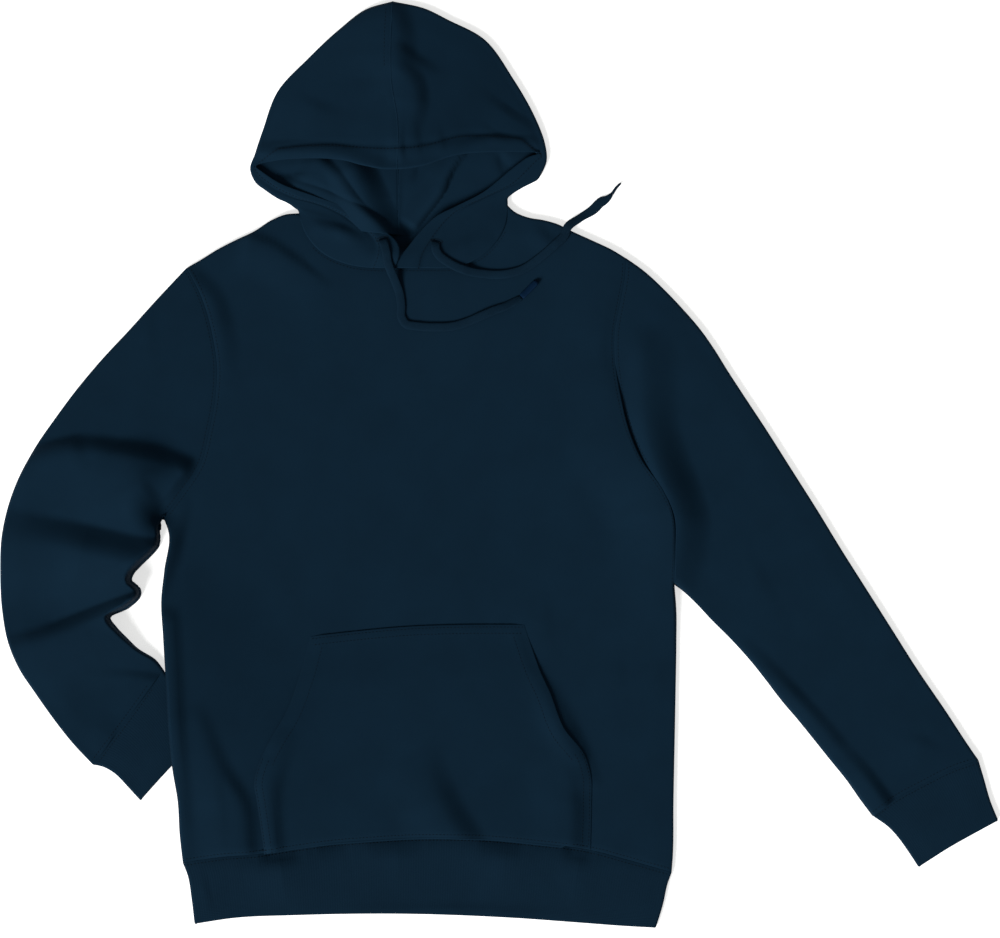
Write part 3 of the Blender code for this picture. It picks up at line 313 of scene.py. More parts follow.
LINING_CREASES = [
    Crease([(-102, 232), (-116, 248), (-139, 268), (-152, 286), (-163, 302), (-180, 318)],
           0.9, 1.1, 5.2, 10, 34, 0.5),
    Crease([(-100, 246), (-112, 276), (-118, 290), (-130, 314)], 0.8, 1.2, 8.6, 26, 14, 0.2),
    Crease([(-84, 243), (-75, 255), (-64, 269), (-57, 279), (-49, 298), (-34, 320)],
           0.7, 1.0, 6.5, 5.2, 11, 0.5),
    Crease([(-52, 246), (-18, 270), (20, 300)], 0.9, 0.7, -1.6, 3.2, 0, 0),
    Crease([(-101, 240), (-101, 270), (-100, 306)], 0.2, 0.3, 1.4, 6, 14, 0.3),
    Crease([(-80, 312), (-84, 302), (-88, 292)], 1.0, 0.2, -1.6, 4, 0, 0),
    Crease([(14, 296), (6, 304), (0, 316)], 0.8, 0.8, -2.0, 5, 0, 0),
    Crease([(-226, 296), (-206, 300), (-188, 304)], 0.8, 0.3, -1.8, 4, 0, 0),
    Crease([(-232, 293), (-191, 278), (-151, 263), (-122, 246)], 0.6, 0.6, 0.7, 11, 0, 0),
    Crease([(-214, 294), (-180, 283), (-146, 267), (-118, 250)], 0.8, 0.8, -1.0, 2.6, 0, 0),
]
BAND_CREASES = [
    Crease([(-210, -394), (-222, -395), (-238, -397)], 0.75, 0.75, -2.4, 9, 0, 0),
    Crease([(-160, -387.5), (-170, -388), (-180, -389)], 0.75, 0.75, -1.6, 7, 0, 0),
    Crease([(-84, -382), (-104, -383), (-126, -384.5)], 0.6, 0.6, -1.8, 8, 0, 0),
    Crease([(20, -387), (4, -385), (-14, -383)], 0.7, 0.7, -2.2, 8, 0, 0),
    Crease([(90, -395), (81, -393), (72, -391.5)], 0.75, 0.75, -2.2, 8, 0, 0),
    Crease([(-188, -392), (-222, -397), (-264, -402)], 0.2, 0.2, 3.6, 14, 24, 0.3),
    Crease([(-70, -384), (-104, -386), (-140, -388)], 0.2, 0.2, 1.8, 10, 24, 0.3),
    Crease([(46, -391), (4, -388), (-34, -385)], 0.2, 0.2, 2.8, 12, 24, 0.3),
    Crease([(106, -401), (81, -397), (58, -393)], 0.2, 0.2, 2.2, 12, 24, 0.3),
    Crease([(64, -455), (-30, -448), (-156, -449)], 0.2, 0.2, 1.0, 9, 14, 0.3),
    Crease([(-292, -455), (-296, -430), (-300, -412)], 0.2, 0.2, 1.0, 9, 14, 0.3),
]
UNDER_CREASES = [
    Crease([(-280, 60), (-250, 20), (-215, -40)], 0.2, 0.2, 1.8, 16, 30, 0.3),
    Crease([(110, 70), (80, 20), (40, -50)], 0.2, 0.2, 1.6, 18, 30, 0.3),
    Crease([(-240, -330), (-190, -260), (-160, -180)], 0.3, 0.1, 1.8, 14, 26, 0.3),
    Crease([(120, -350), (90, -260), (80, -170)], 0.3, 0.1, 1.4, 16, 26, 0.3),
]
RIPPLE_SHIFT = 1.3  # phase from one wave to the next
RIPPLE_BEND = (0.9, 2.1)  # depth and rate of their bends
RIPPLES = [  # wavelength, heading in degrees, height
    (190.0, 20.0, 0.22), (131.0, 74.0, 0.17), (97.0, 131.0, 0.12), (71.0, 158.0, 0.06), (53.0, 43.0, 0.04),
]

POCKET_TOP_EDGE = [(-194, -175), (-150, -170), (-95, -165), (-35, -163), (25, -163)]
POCKET_LEFT_EDGE = [  # waist seam up the side, then the hand opening
    (93, -394), (94, -343), (94, -321), (88, -298), (66, -269), (51, -231), (42, -212), (34, -190),
    (25, -163),
]
POCKET_RIGHT_EDGE = [
    (-242, -397), (-250, -340), (-252, -328), (-246, -302), (-235, -280), (-219, -253), (-205, -215),
    (-198, -190), (-194, -175),
]
POCKET_CELLS = (3.8, 3.6)
POCKET_WIDENING = 1.25  # its base is wider than its top
POCKET_HEM = 9.5
TOP_HEM_START = 4.0
POCKET_LOFT = 0.6
POCKET_RIPPLE = 0.5
LOFT_EDGE = 10.0
OPENING_START = 0.42  # share of the edge, up from the waist, that is sewn down
OPENING_HEM = 17.0
OPENING_LIFTS = (0.7, 0.4)
OPENING_PROFILE = ((0, 0.12, 0.45, 0.75, 1), (0.3, 1, 1, 0.35, 0.1))  # shares of its run and of its lift
OPENING_LIFT_WIDTH = 22.0
OPENING_TOP = 25.0
OPENING_SINK = 1.2
HEM_RISE = 0.2
SEWN_SINK = 2.3
SINK_WIDTH = 16.0
TOP_SINK = 1.9
TOP_SINK_WIDTH = 46.0

# Cord ends, from the slit in the casing to the tip.
CORD_RIGHT_ROUTE = [
    (-120, 231), (-117, 221), (-114, 205), (-108, 190), (-103, 176), (-101, 163), (-101, 152), (-97, 145),
    (-84, 142), (-66, 141), (-48, 142), (-34, 146), (-20, 152), (-6, 158), (5, 162), (16, 168), (22, 172),
]
CORD_LEFT_ROUTE = [
    (-65, 229), (-66, 222), (-62, 214), (-57, 210), (-43, 202), (-31, 198), (-20, 196), (2, 195),
    (23, 200), (41, 212), (56, 225), (66, 235), (69, 243), (82, 253), (96, 262), (103, 269), (110, 273),
    (115, 278),
]
CORD_DIVE = (2.4, 0.9)  # the first rings go down into the slit
CORD_STEP = 2.5
CORD_SIDES = 16
CORD_SQUARENESS = 2.6  # 2 is an ellipse, and more is nearer to a rectangle
CORD_PROBE = 4.0
CORD_EASING = 40
CORD_CLEARANCE = 0.3
TAIL = (0.72, 0.12)  # where the tail's lift starts, and over what share of the cord
TIP_RINGS = 10
TIP_ROUGHNESS = {"wrap": 0.7, "spike": 0.5}
# Rolls are (share, degrees) of the turn about the path, and scales are (share, scale) of the section.
CordEnd = namedtuple(
    "CordEnd", "side route tail_lift rolls scales tip tip_route tip_section tip_rolls tip_scales"
)
CORD_ENDS = (
    CordEnd(
        "right", CORD_RIGHT_ROUTE, 1.0, [(0, 0), (0.8, 0), (0.9, 18), (1, 40)], [(0, 1), (0.97, 1), (1, 0.7)],
        "wrap", [(27, 177), (32, 182), (38, 188)], (7.6, 2.6),
        [(0, 36), (1, 30)], [(0, 0.85), (0.1, 1), (0.9, 0.95), (1, 0.6)],
    ),
    CordEnd(
        "left", CORD_LEFT_ROUTE, 1.4, [(0, 0), (0.74, 0), (0.82, 24), (0.9, 6), (0.95, 6), (1, 30)],
        [(0, 1), (0.84, 1), (0.9, 1.15), (0.95, 1.1), (1, 0.4)],
        "spike", [(119, 284), (124, 289)], (2.8, 2.6),
        [(0, 0), (1, 0)], [(0, 1.2), (0.9, 0.85), (1, 0.5)],
    ),
)

# Sewing. Each twin row has the shares of its seam where the left and the right needle start and stop.
TWIN_ROWS = (
    (ARMHOLE_RIGHT, (0.02, 0.97), (0.02, 0.97)), (ARMHOLE_LEFT, (0.02, 0.62), (0.02, 0.99)),
    (WAIST_SEAM, (0.01, 0.99), (0.01, 0.99)), (LEFT_CUFF_SEAM, (0.03, 0.97), (0.03, 0.97)),
    (RIGHT_CUFF_SEAM, (0.03, 0.8), (0.03, 0.8)),
)
UNDER_SEAMS = (ARMHOLE_RIGHT, ARMHOLE_LEFT, WAIST_SEAM, LEFT_CUFF_SEAM)
POCKET_ROWS = (  # edge, offset to its left, and shares of the edge
    (POCKET_TOP_EDGE, -3.0, 0.01, 0.99), (POCKET_TOP_EDGE, -9.4, 0.02, 0.98),
    (POCKET_LEFT_EDGE, 2.5, 0.0, 0.42), (POCKET_LEFT_EDGE, 8.9, 0.0, 0.42),
    (POCKET_RIGHT_EDGE, -2.5, 0.0, 0.42), (POCKET_RIGHT_EDGE, -8.9, 0.0, 0.42),
    (POCKET_LEFT_EDGE, 14.5, 0.42, 0.96), (POCKET_RIGHT_EDGE, -14.5, 0.42, 0.96),
)
CROWN_ROW = (0.62, 0.98)
NECK_ROW = (0.14, 0.9)
SEWN_STEP = 4
LEAST_STEPS = 8
SLIT = (12.5, 4.0)  # length and width
SLIT_POINTS = 40
SLIT_STITCH = 0.0024
SLIT_PITCH = 1.1  # in threads
STITCH_DEPTH = -0.15  # stitches sink into the cloth
CASING_DEPTH = -0.12
SLIT_DEPTH = -0.25

# Studio, in metres, but for the sensor.
FLOOR_HALF = 4.0
FLOOR_LEVEL = -0.0002
KEY_DISTANCE = 3
SENSOR_WIDTH = 36.0


def linear(code):
    """An sRGB hex colour as linear red, green, blue and alpha."""
    values = [int(code[i : i + 2], 16) / 255 for i in (1, 3, 5)]
    return (*[v / 12.92 if v <= 0.04045 else ((v + 0.055) / 1.055) ** 2.4 for v in values], 1.0)


def length_property(name, description, metres):
    return FloatProperty(name=name, description=description, default=metres, unit="LENGTH")


def angle_property(name, description, degrees):
    return FloatProperty(name=name, description=description, default=math.radians(degrees), unit="ROTATION")


def colour_property(name, description, code):
    value = linear(code)
    return FloatVectorProperty(name=name, description=description, default=value, size=4, subtype="COLOR")


class HoodieSizes(PropertyGroup):
    """Sizes of the cloth, the rib, the sewing and the cord."""

    fleece_wall: length_property("Fleece wall", "Fleece thickness", 0.0024)
    rib_wall: length_property("Rib wall", "Folded rib thickness", 0.0028)
    casing_wall: length_property("Casing wall", "Thickness of the turned hem round the face", 0.0038)
    cell: length_property("Cell", "Spacing of the cloth's points", 0.0044)
    hood_cell: length_property("Hood cell", "Spacing on the hood", 0.003)
    crease_strength: FloatProperty(name="Creases", description="Scale of every crease", default=1.3)
    rib_pitch: length_property("Rib pitch", "One rib and one furrow", 0.0026)
    rib_height: length_property("Rib height", "Rib above its furrow", 0.00013)
    stitch_pitch: length_property("Stitch pitch", "Stitch to stitch", 0.0036)
    stitch_length: length_property("Stitch", "Length of a stitch", 0.0028)
    # Real thread is 0.3 mm thick. It is drawn coarser, because that would not show at this distance.
    thread: length_property("Thread", "Thread thickness", 0.0008)
    needle_gap: length_property("Needle gap", "Between twin rows", 0.0064)
    cord_width: length_property("Cord width", "Flat drawcord width", 0.009)
    cord_thickness: length_property("Cord thickness", "Flat drawcord thickness", 0.0022)


class HoodieFinishes(PropertyGroup):
    """Colours of the cloth and trims."""

    navy: colour_property("Fleece", "Fleece colour", "#0A1F2E")
    navy_rib: colour_property("Rib", "Rib colour", "#0A1F2E")
    navy_cord: colour_property("Cord", "Drawcord colour", "#0A1F2E")
    # The wrapped tip's blue tint is painted reflection: it stands in for light reflected in the tip's clear
    # film.
    blue_tip: colour_property("Blue tip", "Wrapped tip colour", "#041A30")
    navy_thread: colour_property("Thread", "Sewing thread colour", "#050F18")
    dark_tip: colour_property("Dark tip", "Thin tip colour", "#0B1B28")
    knit_pitch: length_property("Knit", "Two courses of the jersey face", 0.0017)


class HoodieStudio(PropertyGroup):
    """Camera, floor and lights."""

    field_width: length_property("Field", "Width that the camera sees", 1.025)
    centre_x: length_property("Centre X", "Middle of the view", 0.0)
    centre_y: length_property("Centre Y", "Middle of the view", -0.0041)
    lens: FloatProperty(name="Lens", description="Focal length in millimetres", default=200.0)
    key_strength: FloatProperty(name="Key", description="Sun strength of the key light", default=4.3)
    key_spread: FloatProperty(name="Key spread", description="Its softness", default=0.45, unit="ROTATION")
    key_height: angle_property("Key height", "Its height above the table", 36)
    key_heading: angle_property("Key heading", "From +X towards +Y", -130)
    fill: FloatProperty(name="Fill", description="Radiance of the room", default=0.26)
    table_glow: FloatProperty(name="Table glow", description="Light from beneath the table", default=0.7)
    floor: colour_property("Floor", "Floor colour", "#F1F1F0")


# Lines.


def soft_line(route, steps=14):
    """A smooth curve through the route's points, as a dense polyline."""
    points = np.array(route, float)
    knots = reach_of(points)
    slopes = np.gradient(points, knots, axis=0)
    found = [points[:1]]
    for i in range(len(points) - 1):
        t = (np.arange(1, steps + 1) / steps)[:, None]
        span = knots[i + 1] - knots[i]
        found.append(
            (2 * t**3 - 3 * t**2 + 1) * points[i]
            + (t**3 - 2 * t**2 + t) * span * slopes[i]
            + (3 * t**2 - 2 * t**3) * points[i + 1]
            + (t**3 - t**2) * span * slopes[i + 1]
        )
    return np.concatenate(found)


def reach_of(line):
    """How far along the line each of its points is."""
    return np.concatenate([[0.0], np.cumsum(np.linalg.norm(np.diff(line, axis=0), axis=1))])


def length_of(line):
    return float(reach_of(line)[-1])


def side_of(run):
    """Plan directions to the left of each run."""
    return np.stack([-run[:, 1], run[:, 0]], axis=1)


def along(line, shares):
    """The line's points at shares of its length, from 0 to 1."""
    reach = reach_of(line)
    at = np.asarray(shares) * reach[-1]
    return np.stack([np.interp(at, reach, line[:, k]) for k in range(line.shape[1])], axis=-1)


def unit(vectors):
    return vectors / np.maximum(np.linalg.norm(vectors, axis=-1, keepdims=True), 1e-9)


def spaced(length, cell, start=RIM, end=RIM):
    """Shares of a length: close points at each end, and even ones about a cell apart between."""
    near, far = np.array(start), length - np.array(end)[::-1]
    inner = max(1, round((far[0] - near[-1]) / cell))
    middle = np.linspace(near[-1], far[0], inner + 1)[1:-1]
    return np.concatenate([near, middle, far]) / length


def line_distance(points, line):
    """For each point: the distance to the line, the share of the line's length there, and the side, which is
    positive on its left."""
    a, run = line[:-1], np.diff(line, axis=0)
    reach = reach_of(line)
    far = np.empty(len(points))
    share = np.empty(len(points))
    side = np.empty(len(points))
    square = (run**2).sum(axis=1)
    for start in range(0, len(points), BLOCK):
        p = points[start : start + BLOCK, None] - a[None]
        t = np.clip((p * run).sum(axis=2) / square, 0, 1)
        gap = p - t[:, :, None] * run
        squares = (gap**2).sum(axis=2)
        k = squares.argmin(axis=1)
        row = np.arange(len(k))
        block = slice(start, start + len(k))
        far[block] = np.sqrt(squares[row, k])
        share[block] = (reach[k] + t[row, k] * (reach[k + 1] - reach[k])) / reach[-1]
        side[block] = np.sign(run[k, 0] * p[row, k, 1] - run[k, 1] * p[row, k, 0])
    return far, share, side


# Heights.


def smooth_step(x):
    x = np.clip(x, 0.0, 1.0)
    return x * x * (3 - 2 * x)


def nearest(points, lines):
    """Distance of each point from the nearest of the lines."""
    return np.min([line_distance(points, line)[0] for line in lines], axis=0)


def one_crease(points, crease):
    """Height of a crease: a steep face that climbs to a crest, then a gentle fall."""
    line = soft_line(crease.route, steps=8)
    fade = CREASE_FADE * crease.width
    long = length_of(line)
    first, last = unit(line[0] - line[1]), unit(line[-1] - line[-2])
    line = np.concatenate([[line[0] + fade * first], line, [line[-1] + fade * last]])
    far, share, side = line_distance(points, line)
    at = share * (long + 2 * fade)
    stops = [0, fade, fade + long / 2, fade + long, 2 * fade + long]
    strength = np.interp(at, stops, [0, crease.start, 1.0, crease.end, 0])
    if crease.run == 0:
        return strength * crease.height * np.exp(-((far / crease.width) ** 2))
    offset = side * far
    climb = np.clip(offset / crease.width, 0, 1)
    face = (1 - crease.sharp) * smooth_step(climb) + crease.sharp * (1 - (1 - climb) ** SHARP_FACE)
    fall = 1 - smooth_step((offset - crease.width) / (2 * crease.run))
    ended = (share <= 0) | (share >= 1)
    return np.where(ended, 0.0, strength * crease.height * face * fall)


def crease_height(points, creases):
    """Height of all the creases, which rise from nothing round the underarm."""
    total = np.zeros(len(points))
    for crease in creases:
        total += one_crease(points, crease)
    level = smooth_step(np.linalg.norm(points - np.array(UNDERARM), axis=1) / UNDERARM_REACH)
    return total * level * bpy.context.scene.hoodie_sizes.crease_strength


def echoed(creases):
    """The same creases, weaker, as they show on the side beneath."""
    return [crease._replace(height=ECHO * crease.height) for crease in creases]


def ripple(points):
    """Broad shallow waves of cloth that has been smoothed out by hand."""
    total = np.zeros(len(points))
    for number, (wave, heading, height) in enumerate(RIPPLES):
        turn = math.radians(heading)
        way = points @ np.array([math.cos(turn), math.sin(turn)])
        cross = points @ np.array([-math.sin(turn), math.cos(turn)])
        bend = RIPPLE_BEND[0] * np.sin(cross / wave * RIPPLE_BEND[1])
        total += height * np.sin(2 * math.pi * way / wave + RIPPLE_SHIFT * number + bend)
    return total


def cuff_lift(points):
    """How far the body is lifted by the cuff beneath it."""
    corners = [np.array(spot, float) for spot in HIDDEN_CUFF]
    loop = np.array([*corners, corners[0]])
    far = line_distance(points, loop)[0]
    turns = np.array([np.cross(b - a, points - a) for a, b in zip(loop, loop[1:])])
    inside = (turns <= 0).all(axis=0) | (turns >= 0).all(axis=0)
    return CUFF_LIFT * smooth_step(1 - (np.where(inside, 0.0, far) - LIFT_MARGIN) / LIFT_SLOPE)


def layer_shape(points, side, far, creases, seams):
    """What stands on a layer's crown: loft, ripples and creases, sunk along the seams."""
    soft = smooth_step(far / SOFT_EDGE)
    near = smooth_step(far / CREASE_EDGE)
    for kind, seam in seams:
        if kind == "bent_armhole":
            lower = seam[seam[:, 1] < LEVEL_TOP]
            near = near * smooth_step(line_distance(points, lower)[0] / ARMHOLE_LEVEL)
    top, under = creases
    shape = np.where(
        side > 0,
        soft * (PUFF + ripple(points)) + near * crease_height(points, top),
        near * crease_height(points, under),
    )
    shape = np.minimum(shape, EDGE_CLIMB * far)
    for kind, seam in seams:
        dip = DIPS[kind] * np.exp(-((line_distance(points, seam)[0] / SEAM_DIP_WIDTH) ** 2))
        shape -= np.where(side == 1, soft * dip, 0.0)
    return shape


def laid_heights(plan, sides, edges, creases, lifted=False, rises=None, seams=()):
    """Outer surface of laid cloth over a plan grid: side 1 is the top layer, -1 the under layer, and 0 the
    folded edge. A fractional side is an edge beside its seam's gap."""
    points = plan.reshape(-1, 2)
    side = sides.reshape(-1)
    far = nearest(points, edges)
    on_layer = np.abs(side) == 1
    turned = np.where(on_layer, 1 - np.minimum(far / EDGE_RADIUS, 1.0), 1.0)
    steep = np.maximum(0.0, 1 - turned**EDGE_FULLNESS) ** (1 / EDGE_FULLNESS)
    base = cuff_lift(points) if lifted else np.zeros(len(points))
    height = base + EDGE_RADIUS + side * np.where(on_layer, EDGE_RADIUS * steep, EDGE_SHARE)
    shape = np.where(on_layer, layer_shape(points, side, far, creases, seams), 0.0)
    if rises is not None:
        shape += rises.reshape(-1)
    least = base + EDGE_RADIUS + steep * LEAST_CROWN
    height = np.maximum(height + shape, np.where(side == 1, least, 0.0))
    return np.column_stack([points, height]).reshape(*plan.shape[:2], 3)


# Shells.


def grid_normals(grid, ring):
    """Unit normals of a grid of points. A ring closes on itself across."""
    down = np.gradient(grid, axis=0)
    if ring:
        across = np.roll(grid, -1, axis=1) - np.roll(grid, 1, axis=1)
    else:
        across = np.gradient(grid, axis=1)
    return unit(np.cross(across, down))


def rim_distance(grid, rims):
    """Distance of each point from the nearest of the named rims, along its row or column."""
    across = np.cumsum(np.linalg.norm(np.diff(grid, axis=1, prepend=grid[:, :1]), axis=2), axis=1)
    down = np.cumsum(np.linalg.norm(np.diff(grid, axis=0, prepend=grid[:1]), axis=2), axis=0)
    found = {
        "first_row": down,
        "last_row": down[-1:] - down,
        "first_column": across,
        "last_column": across[:, -1:] - across,
    }
    return np.min([found[name] for name in rims], axis=0)


def wall_faces(rows, columns, ring):
    """Faces of a closed wall, whose points are those of its outside and then those of its inside."""
    count = rows * columns
    index = np.arange(count).reshape(rows, columns)
    wrap = np.concatenate([index, index[:, :1]], axis=1) if ring else index
    a, b, c, d = wrap[:-1, :-1], wrap[:-1, 1:], wrap[1:, 1:], wrap[1:, :-1]
    outside = np.stack([a, b, c, d], axis=-1).reshape(-1, 4)
    inside = np.stack([a, d, c, b], axis=-1).reshape(-1, 4) + count
    rims = [wrap[0, ::-1], wrap[-1]]
    if not ring:
        rims += [index[:, 0], index[::-1, -1]]
    sides = [np.stack([r[:-1], r[1:], r[1:] + count, r[:-1] + count], axis=-1) for r in rims]
    return np.concatenate([outside, inside, *sides]), len(outside)


def volume_of(corners):
    """Volume inside quads, given by their corners: it is negative where they look inward."""
    halves = np.cross(corners[:, 1], corners[:, 2]) + np.cross(corners[:, 2], corners[:, 3])
    return np.einsum("ij,ij->", corners[:, 0], halves)


def placed(name, data):
    """A new object in the scene."""
    made = bpy.data.objects.new(name, data)
    bpy.context.scene.collection.objects.link(made)
    return made


def new_piece(name, mesh):
    """Puts a finished mesh in the scene, as a piece that rides the body."""
    made = placed(name, mesh)
    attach(made, BODY)
    return made


def shell(node, outer, wall, ring, rims, slot, middle, rounding, facing=1):
    """The node's cloth: a closed wall on an outer grid, rounded at the named rims, with UVs in metres."""
    finishes = rib_finishes() if slot == "rib" else fleece_finishes()
    normals = grid_normals(outer, ring)
    rows, columns = outer.shape[:2]
    if normals[rows // 2, middle, 2] * facing < 0:
        normals = -normals
    wall = np.broadcast_to(wall, outer.shape[:2])
    half = wall / 2
    near = np.minimum(rim_distance(outer, rims) / half, 1.0)
    share = np.maximum(np.sqrt(1 - (1 - near) ** 2), LEAST_RIM)
    sunk = (rounding * half * (1 - share))[..., None]
    outside = outer - sunk * normals
    inside = outer - (wall[..., None] - sunk) * normals
    points = np.concatenate([outside.reshape(-1, 3), inside.reshape(-1, 3)]) * MM
    points[:, 2] = np.maximum(points[:, 2], 0.0)
    faces, layer_count = wall_faces(rows, columns, ring)
    if volume_of(points[faces]) < 0:
        faces = faces[:, ::-1]
    mesh = bpy.data.meshes.new(node + "_cloth")
    mesh.from_pydata(points.tolist(), [], faces.tolist())
    lay_uv(mesh, outer, ring, faces, rows * columns, middle)
    for finish in finishes:
        mesh.materials.append(finish)
    which = np.zeros(len(faces), np.int32)
    which[layer_count : 2 * layer_count] = len(finishes) - 1
    mesh.polygons.foreach_set("material_index", which)
    mesh.shade_smooth()
    made = new_piece(node + "_cloth", mesh)
    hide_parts(node)
    made["columns"] = columns
    made["rows"] = rows
    return made


def lay_uv(mesh, outer, ring, faces, count, middle):
    """Cloth coordinates in metres: across each row, and down the middle column."""
    columns = outer.shape[1]
    closed = np.concatenate([outer, outer[:, :1]], axis=1) if ring else outer
    across = np.cumsum(np.linalg.norm(np.diff(closed, axis=1, prepend=closed[:, :1]), axis=2), axis=1)
    middle = min(middle, columns - 1)
    across = across - across[:, middle : middle + 1]
    down = reach_of(outer[:, middle])
    corner = faces.reshape(-1) % count
    row, column = corner // columns, corner % columns
    if ring:
        block = column.reshape(-1, 4)
        wraps = (block.max(axis=1) == columns - 1) & (block.min(axis=1) == 0)
        block = np.where(wraps[:, None] & (block == 0), columns, block)
        column = block.reshape(-1)
    uv = np.stack([across[row, column], down[row]], axis=1) * MM
    layer = mesh.uv_layers.new(name="cloth")
    layer.data.foreach_set("uv", uv.astype(np.float32).ravel())


# Materials.


def add_node(tree, kind, links=None, **settings):
    """Adds a node. Settings are its properties or its sockets' values. Links map its sockets to outputs, and
    a node there stands for its first output."""
    node = tree.nodes.new(kind)
    for name, value in settings.items():
        if name in node.bl_rna.properties:
            setattr(node, name, value)
        else:
            node.inputs[name.replace("_", " ")].default_value = value
    for socket, source in (links or {}).items():
        tree.links.new(getattr(source, "outputs", [source])[0], node.inputs[socket])
    return node


def shaded_colour(tree, colour, spread, scale, coordinates):
    """The colour with soft lighter and darker clouds, as piece-dyed cotton has."""
    noise = {"Scale": scale, "Detail": 4.0, "Roughness": 0.6}
    clouds = add_node(tree, "ShaderNodeTexNoise", {"Vector": coordinates}, **noise)
    ramp = add_node(tree, "ShaderNodeMapRange", {"Value": clouds})
    ramp.inputs["From Min"].default_value = 0.3
    ramp.inputs["From Max"].default_value = 0.7
    ramp.inputs["To Min"].default_value = 1 - spread
    ramp.inputs["To Max"].default_value = 1 + spread
    mixed = add_node(tree, "ShaderNodeVectorMath", {1: ramp}, operation="MULTIPLY")
    mixed.inputs[0].default_value = colour[:3]
    return mixed.outputs["Vector"]


def dyed_finish(name, colour, clouds, roughness, specular):
    """A new material in a clouded colour, whose clouds are (spread, scale). Returns it, its tree, its shader
    and its texture coordinates."""
    made = bpy.data.materials.new(name)
    made.use_nodes = True
    tree = made.node_tree
    shader = tree.nodes["Principled BSDF"]
    place = add_node(tree, "ShaderNodeTexCoord")
    tree.links.new(shaded_colour(tree, colour, *clouds, place.outputs["Object"]), shader.inputs["Base Color"])
    shader.inputs["Roughness"].default_value = roughness
    shader.inputs["Specular IOR Level"].default_value = specular
    return made, tree, shader, place


def add_sheen(shader, weight):
    """The faint bloom of loose fibre ends, which are paler than the dyed yarn."""
    shader.inputs["Sheen Weight"].default_value = weight
    shader.inputs["Sheen Roughness"].default_value = 0.6
    shader.inputs["Sheen Tint"].default_value = linear("#5A7488")


# The bands of a wave texture are 0.314 / scale apart. So wales come 1.07 mm and courses 0.86 mm apart, as in
# a mid-weight fleece, and the finer loops are left to the noise.
def jersey_fleece(name, colour, brushed):
    """Cotton fleece, dyed navy. The outside is a fine jersey, whose wales and courses give a faint grain;
    the inside is brushed to a nap, which hides the loops and catches light at a low angle."""
    made, tree, shader, place = dyed_finish(name, colour, clouds=(0.06, 22.0), roughness=0.92, specular=0.05)
    pitch = bpy.context.scene.hoodie_finishes.knit_pitch
    add_sheen(shader, weight=0.012 if brushed else 0.006)
    nap = add_node(tree, "ShaderNodeTexNoise", {"Vector": place.outputs["Object"]}, Scale=900.0, Detail=3.0)
    height = nap.outputs["Fac"]
    if not brushed:
        wales, courses = (
            add_node(
                tree, "ShaderNodeTexWave", {"Vector": place.outputs["UV"]}, wave_type="BANDS",
                bands_direction=direction, Scale=bands / pitch, Distortion=distortion, Detail=1.0,
            ).outputs["Fac"]
            for direction, bands, distortion in (("X", 0.5, 0.6), ("Y", 0.62, 0.8))
        )
        loops = add_node(tree, "ShaderNodeMath", {0: wales, 1: courses, 2: height}, operation="MULTIPLY_ADD")
        height = loops.outputs["Value"]
    relief = add_node(tree, "ShaderNodeBump", {"Height": height}, Strength=0.12, Distance=0.0003)
    tree.links.new(relief.outputs["Normal"], shader.inputs["Normal"])
    return made


def rib_knit(name, colour):
    """One-by-one rib knit: upright columns of loops, raised in the mesh, crossed by courses 1 mm apart."""
    made, tree, shader, place = dyed_finish(name, colour, clouds=(0.05, 26.0), roughness=0.9, specular=0.05)
    add_sheen(shader, weight=0.006)
    courses = add_node(
        tree, "ShaderNodeTexWave", {"Vector": place.outputs["UV"]}, wave_type="BANDS", bands_direction="Y",
        Scale=300.0, Distortion=1.0, Detail=2.0,
    )
    relief = add_node(tree, "ShaderNodeBump", {"Height": courses.outputs["Fac"]}, Strength=0.3, Distance=0.0003)
    tree.links.new(relief.outputs["Normal"], shader.inputs["Normal"])
    return made


def woven_cord(name, colour):
    """Flat woven polyester drawcord: slanted yarns that cross, a little smoother than the fleece."""
    made, tree, shader, place = dyed_finish(name, colour, clouds=(0.08, 60.0), roughness=0.85, specular=0.05)
    yarns = []
    for slant in (38, -38):
        turned = add_node(tree, "ShaderNodeMapping", {"Vector": place.outputs["UV"]})
        turned.inputs["Rotation"].default_value[2] = math.radians(slant)
        yarns.append(
            add_node(
                tree, "ShaderNodeTexWave", {"Vector": turned.outputs["Vector"]}, wave_type="BANDS",
                bands_direction="X", Scale=260.0, Distortion=0.4,
            ).outputs["Fac"]
        )
    weave = add_node(tree, "ShaderNodeMath", dict(enumerate(yarns)), operation="MAXIMUM")
    relief = add_node(tree, "ShaderNodeBump", {"Height": weave}, Strength=0.6, Distance=0.0005)
    tree.links.new(relief.outputs["Normal"], shader.inputs["Normal"])
    return made


def wrapped_tip(name, colour, roughness):
    """Tip wrapped in thin plastic film, with fine rings where the film is wound."""
    made, tree, shader, place = dyed_finish(name, colour, (0.15, 90.0), roughness, specular=0.05)
    rings = add_node(
        tree, "ShaderNodeTexWave", {"Vector": place.outputs["UV"]}, wave_type="BANDS", bands_direction="Y",
        Scale=320.0, Distortion=0.5,
    )
    relief = add_node(tree, "ShaderNodeBump", {"Height": rings.outputs["Fac"]}, Strength=0.3, Distance=0.0003)
    tree.links.new(relief.outputs["Normal"], shader.inputs["Normal"])
    return made


def sewing_thread(name, colour):
    """Polyester sewing thread, dyed to match, smoother than the cloth."""
    return dyed_finish(name, colour, clouds=(0.08, 400.0), roughness=0.7, specular=0.06)[0]


def lit_table(name, colour, glow):
    """Pale opal acrylic of a light table, lit from beneath, so that no hard shadow falls on it."""
    made, _, shader, _ = dyed_finish(name, colour, clouds=(0.004, 3.0), roughness=0.9, specular=0.1)
    shader.inputs["Emission Color"].default_value = colour
    shader.inputs["Emission Strength"].default_value = glow
    return made


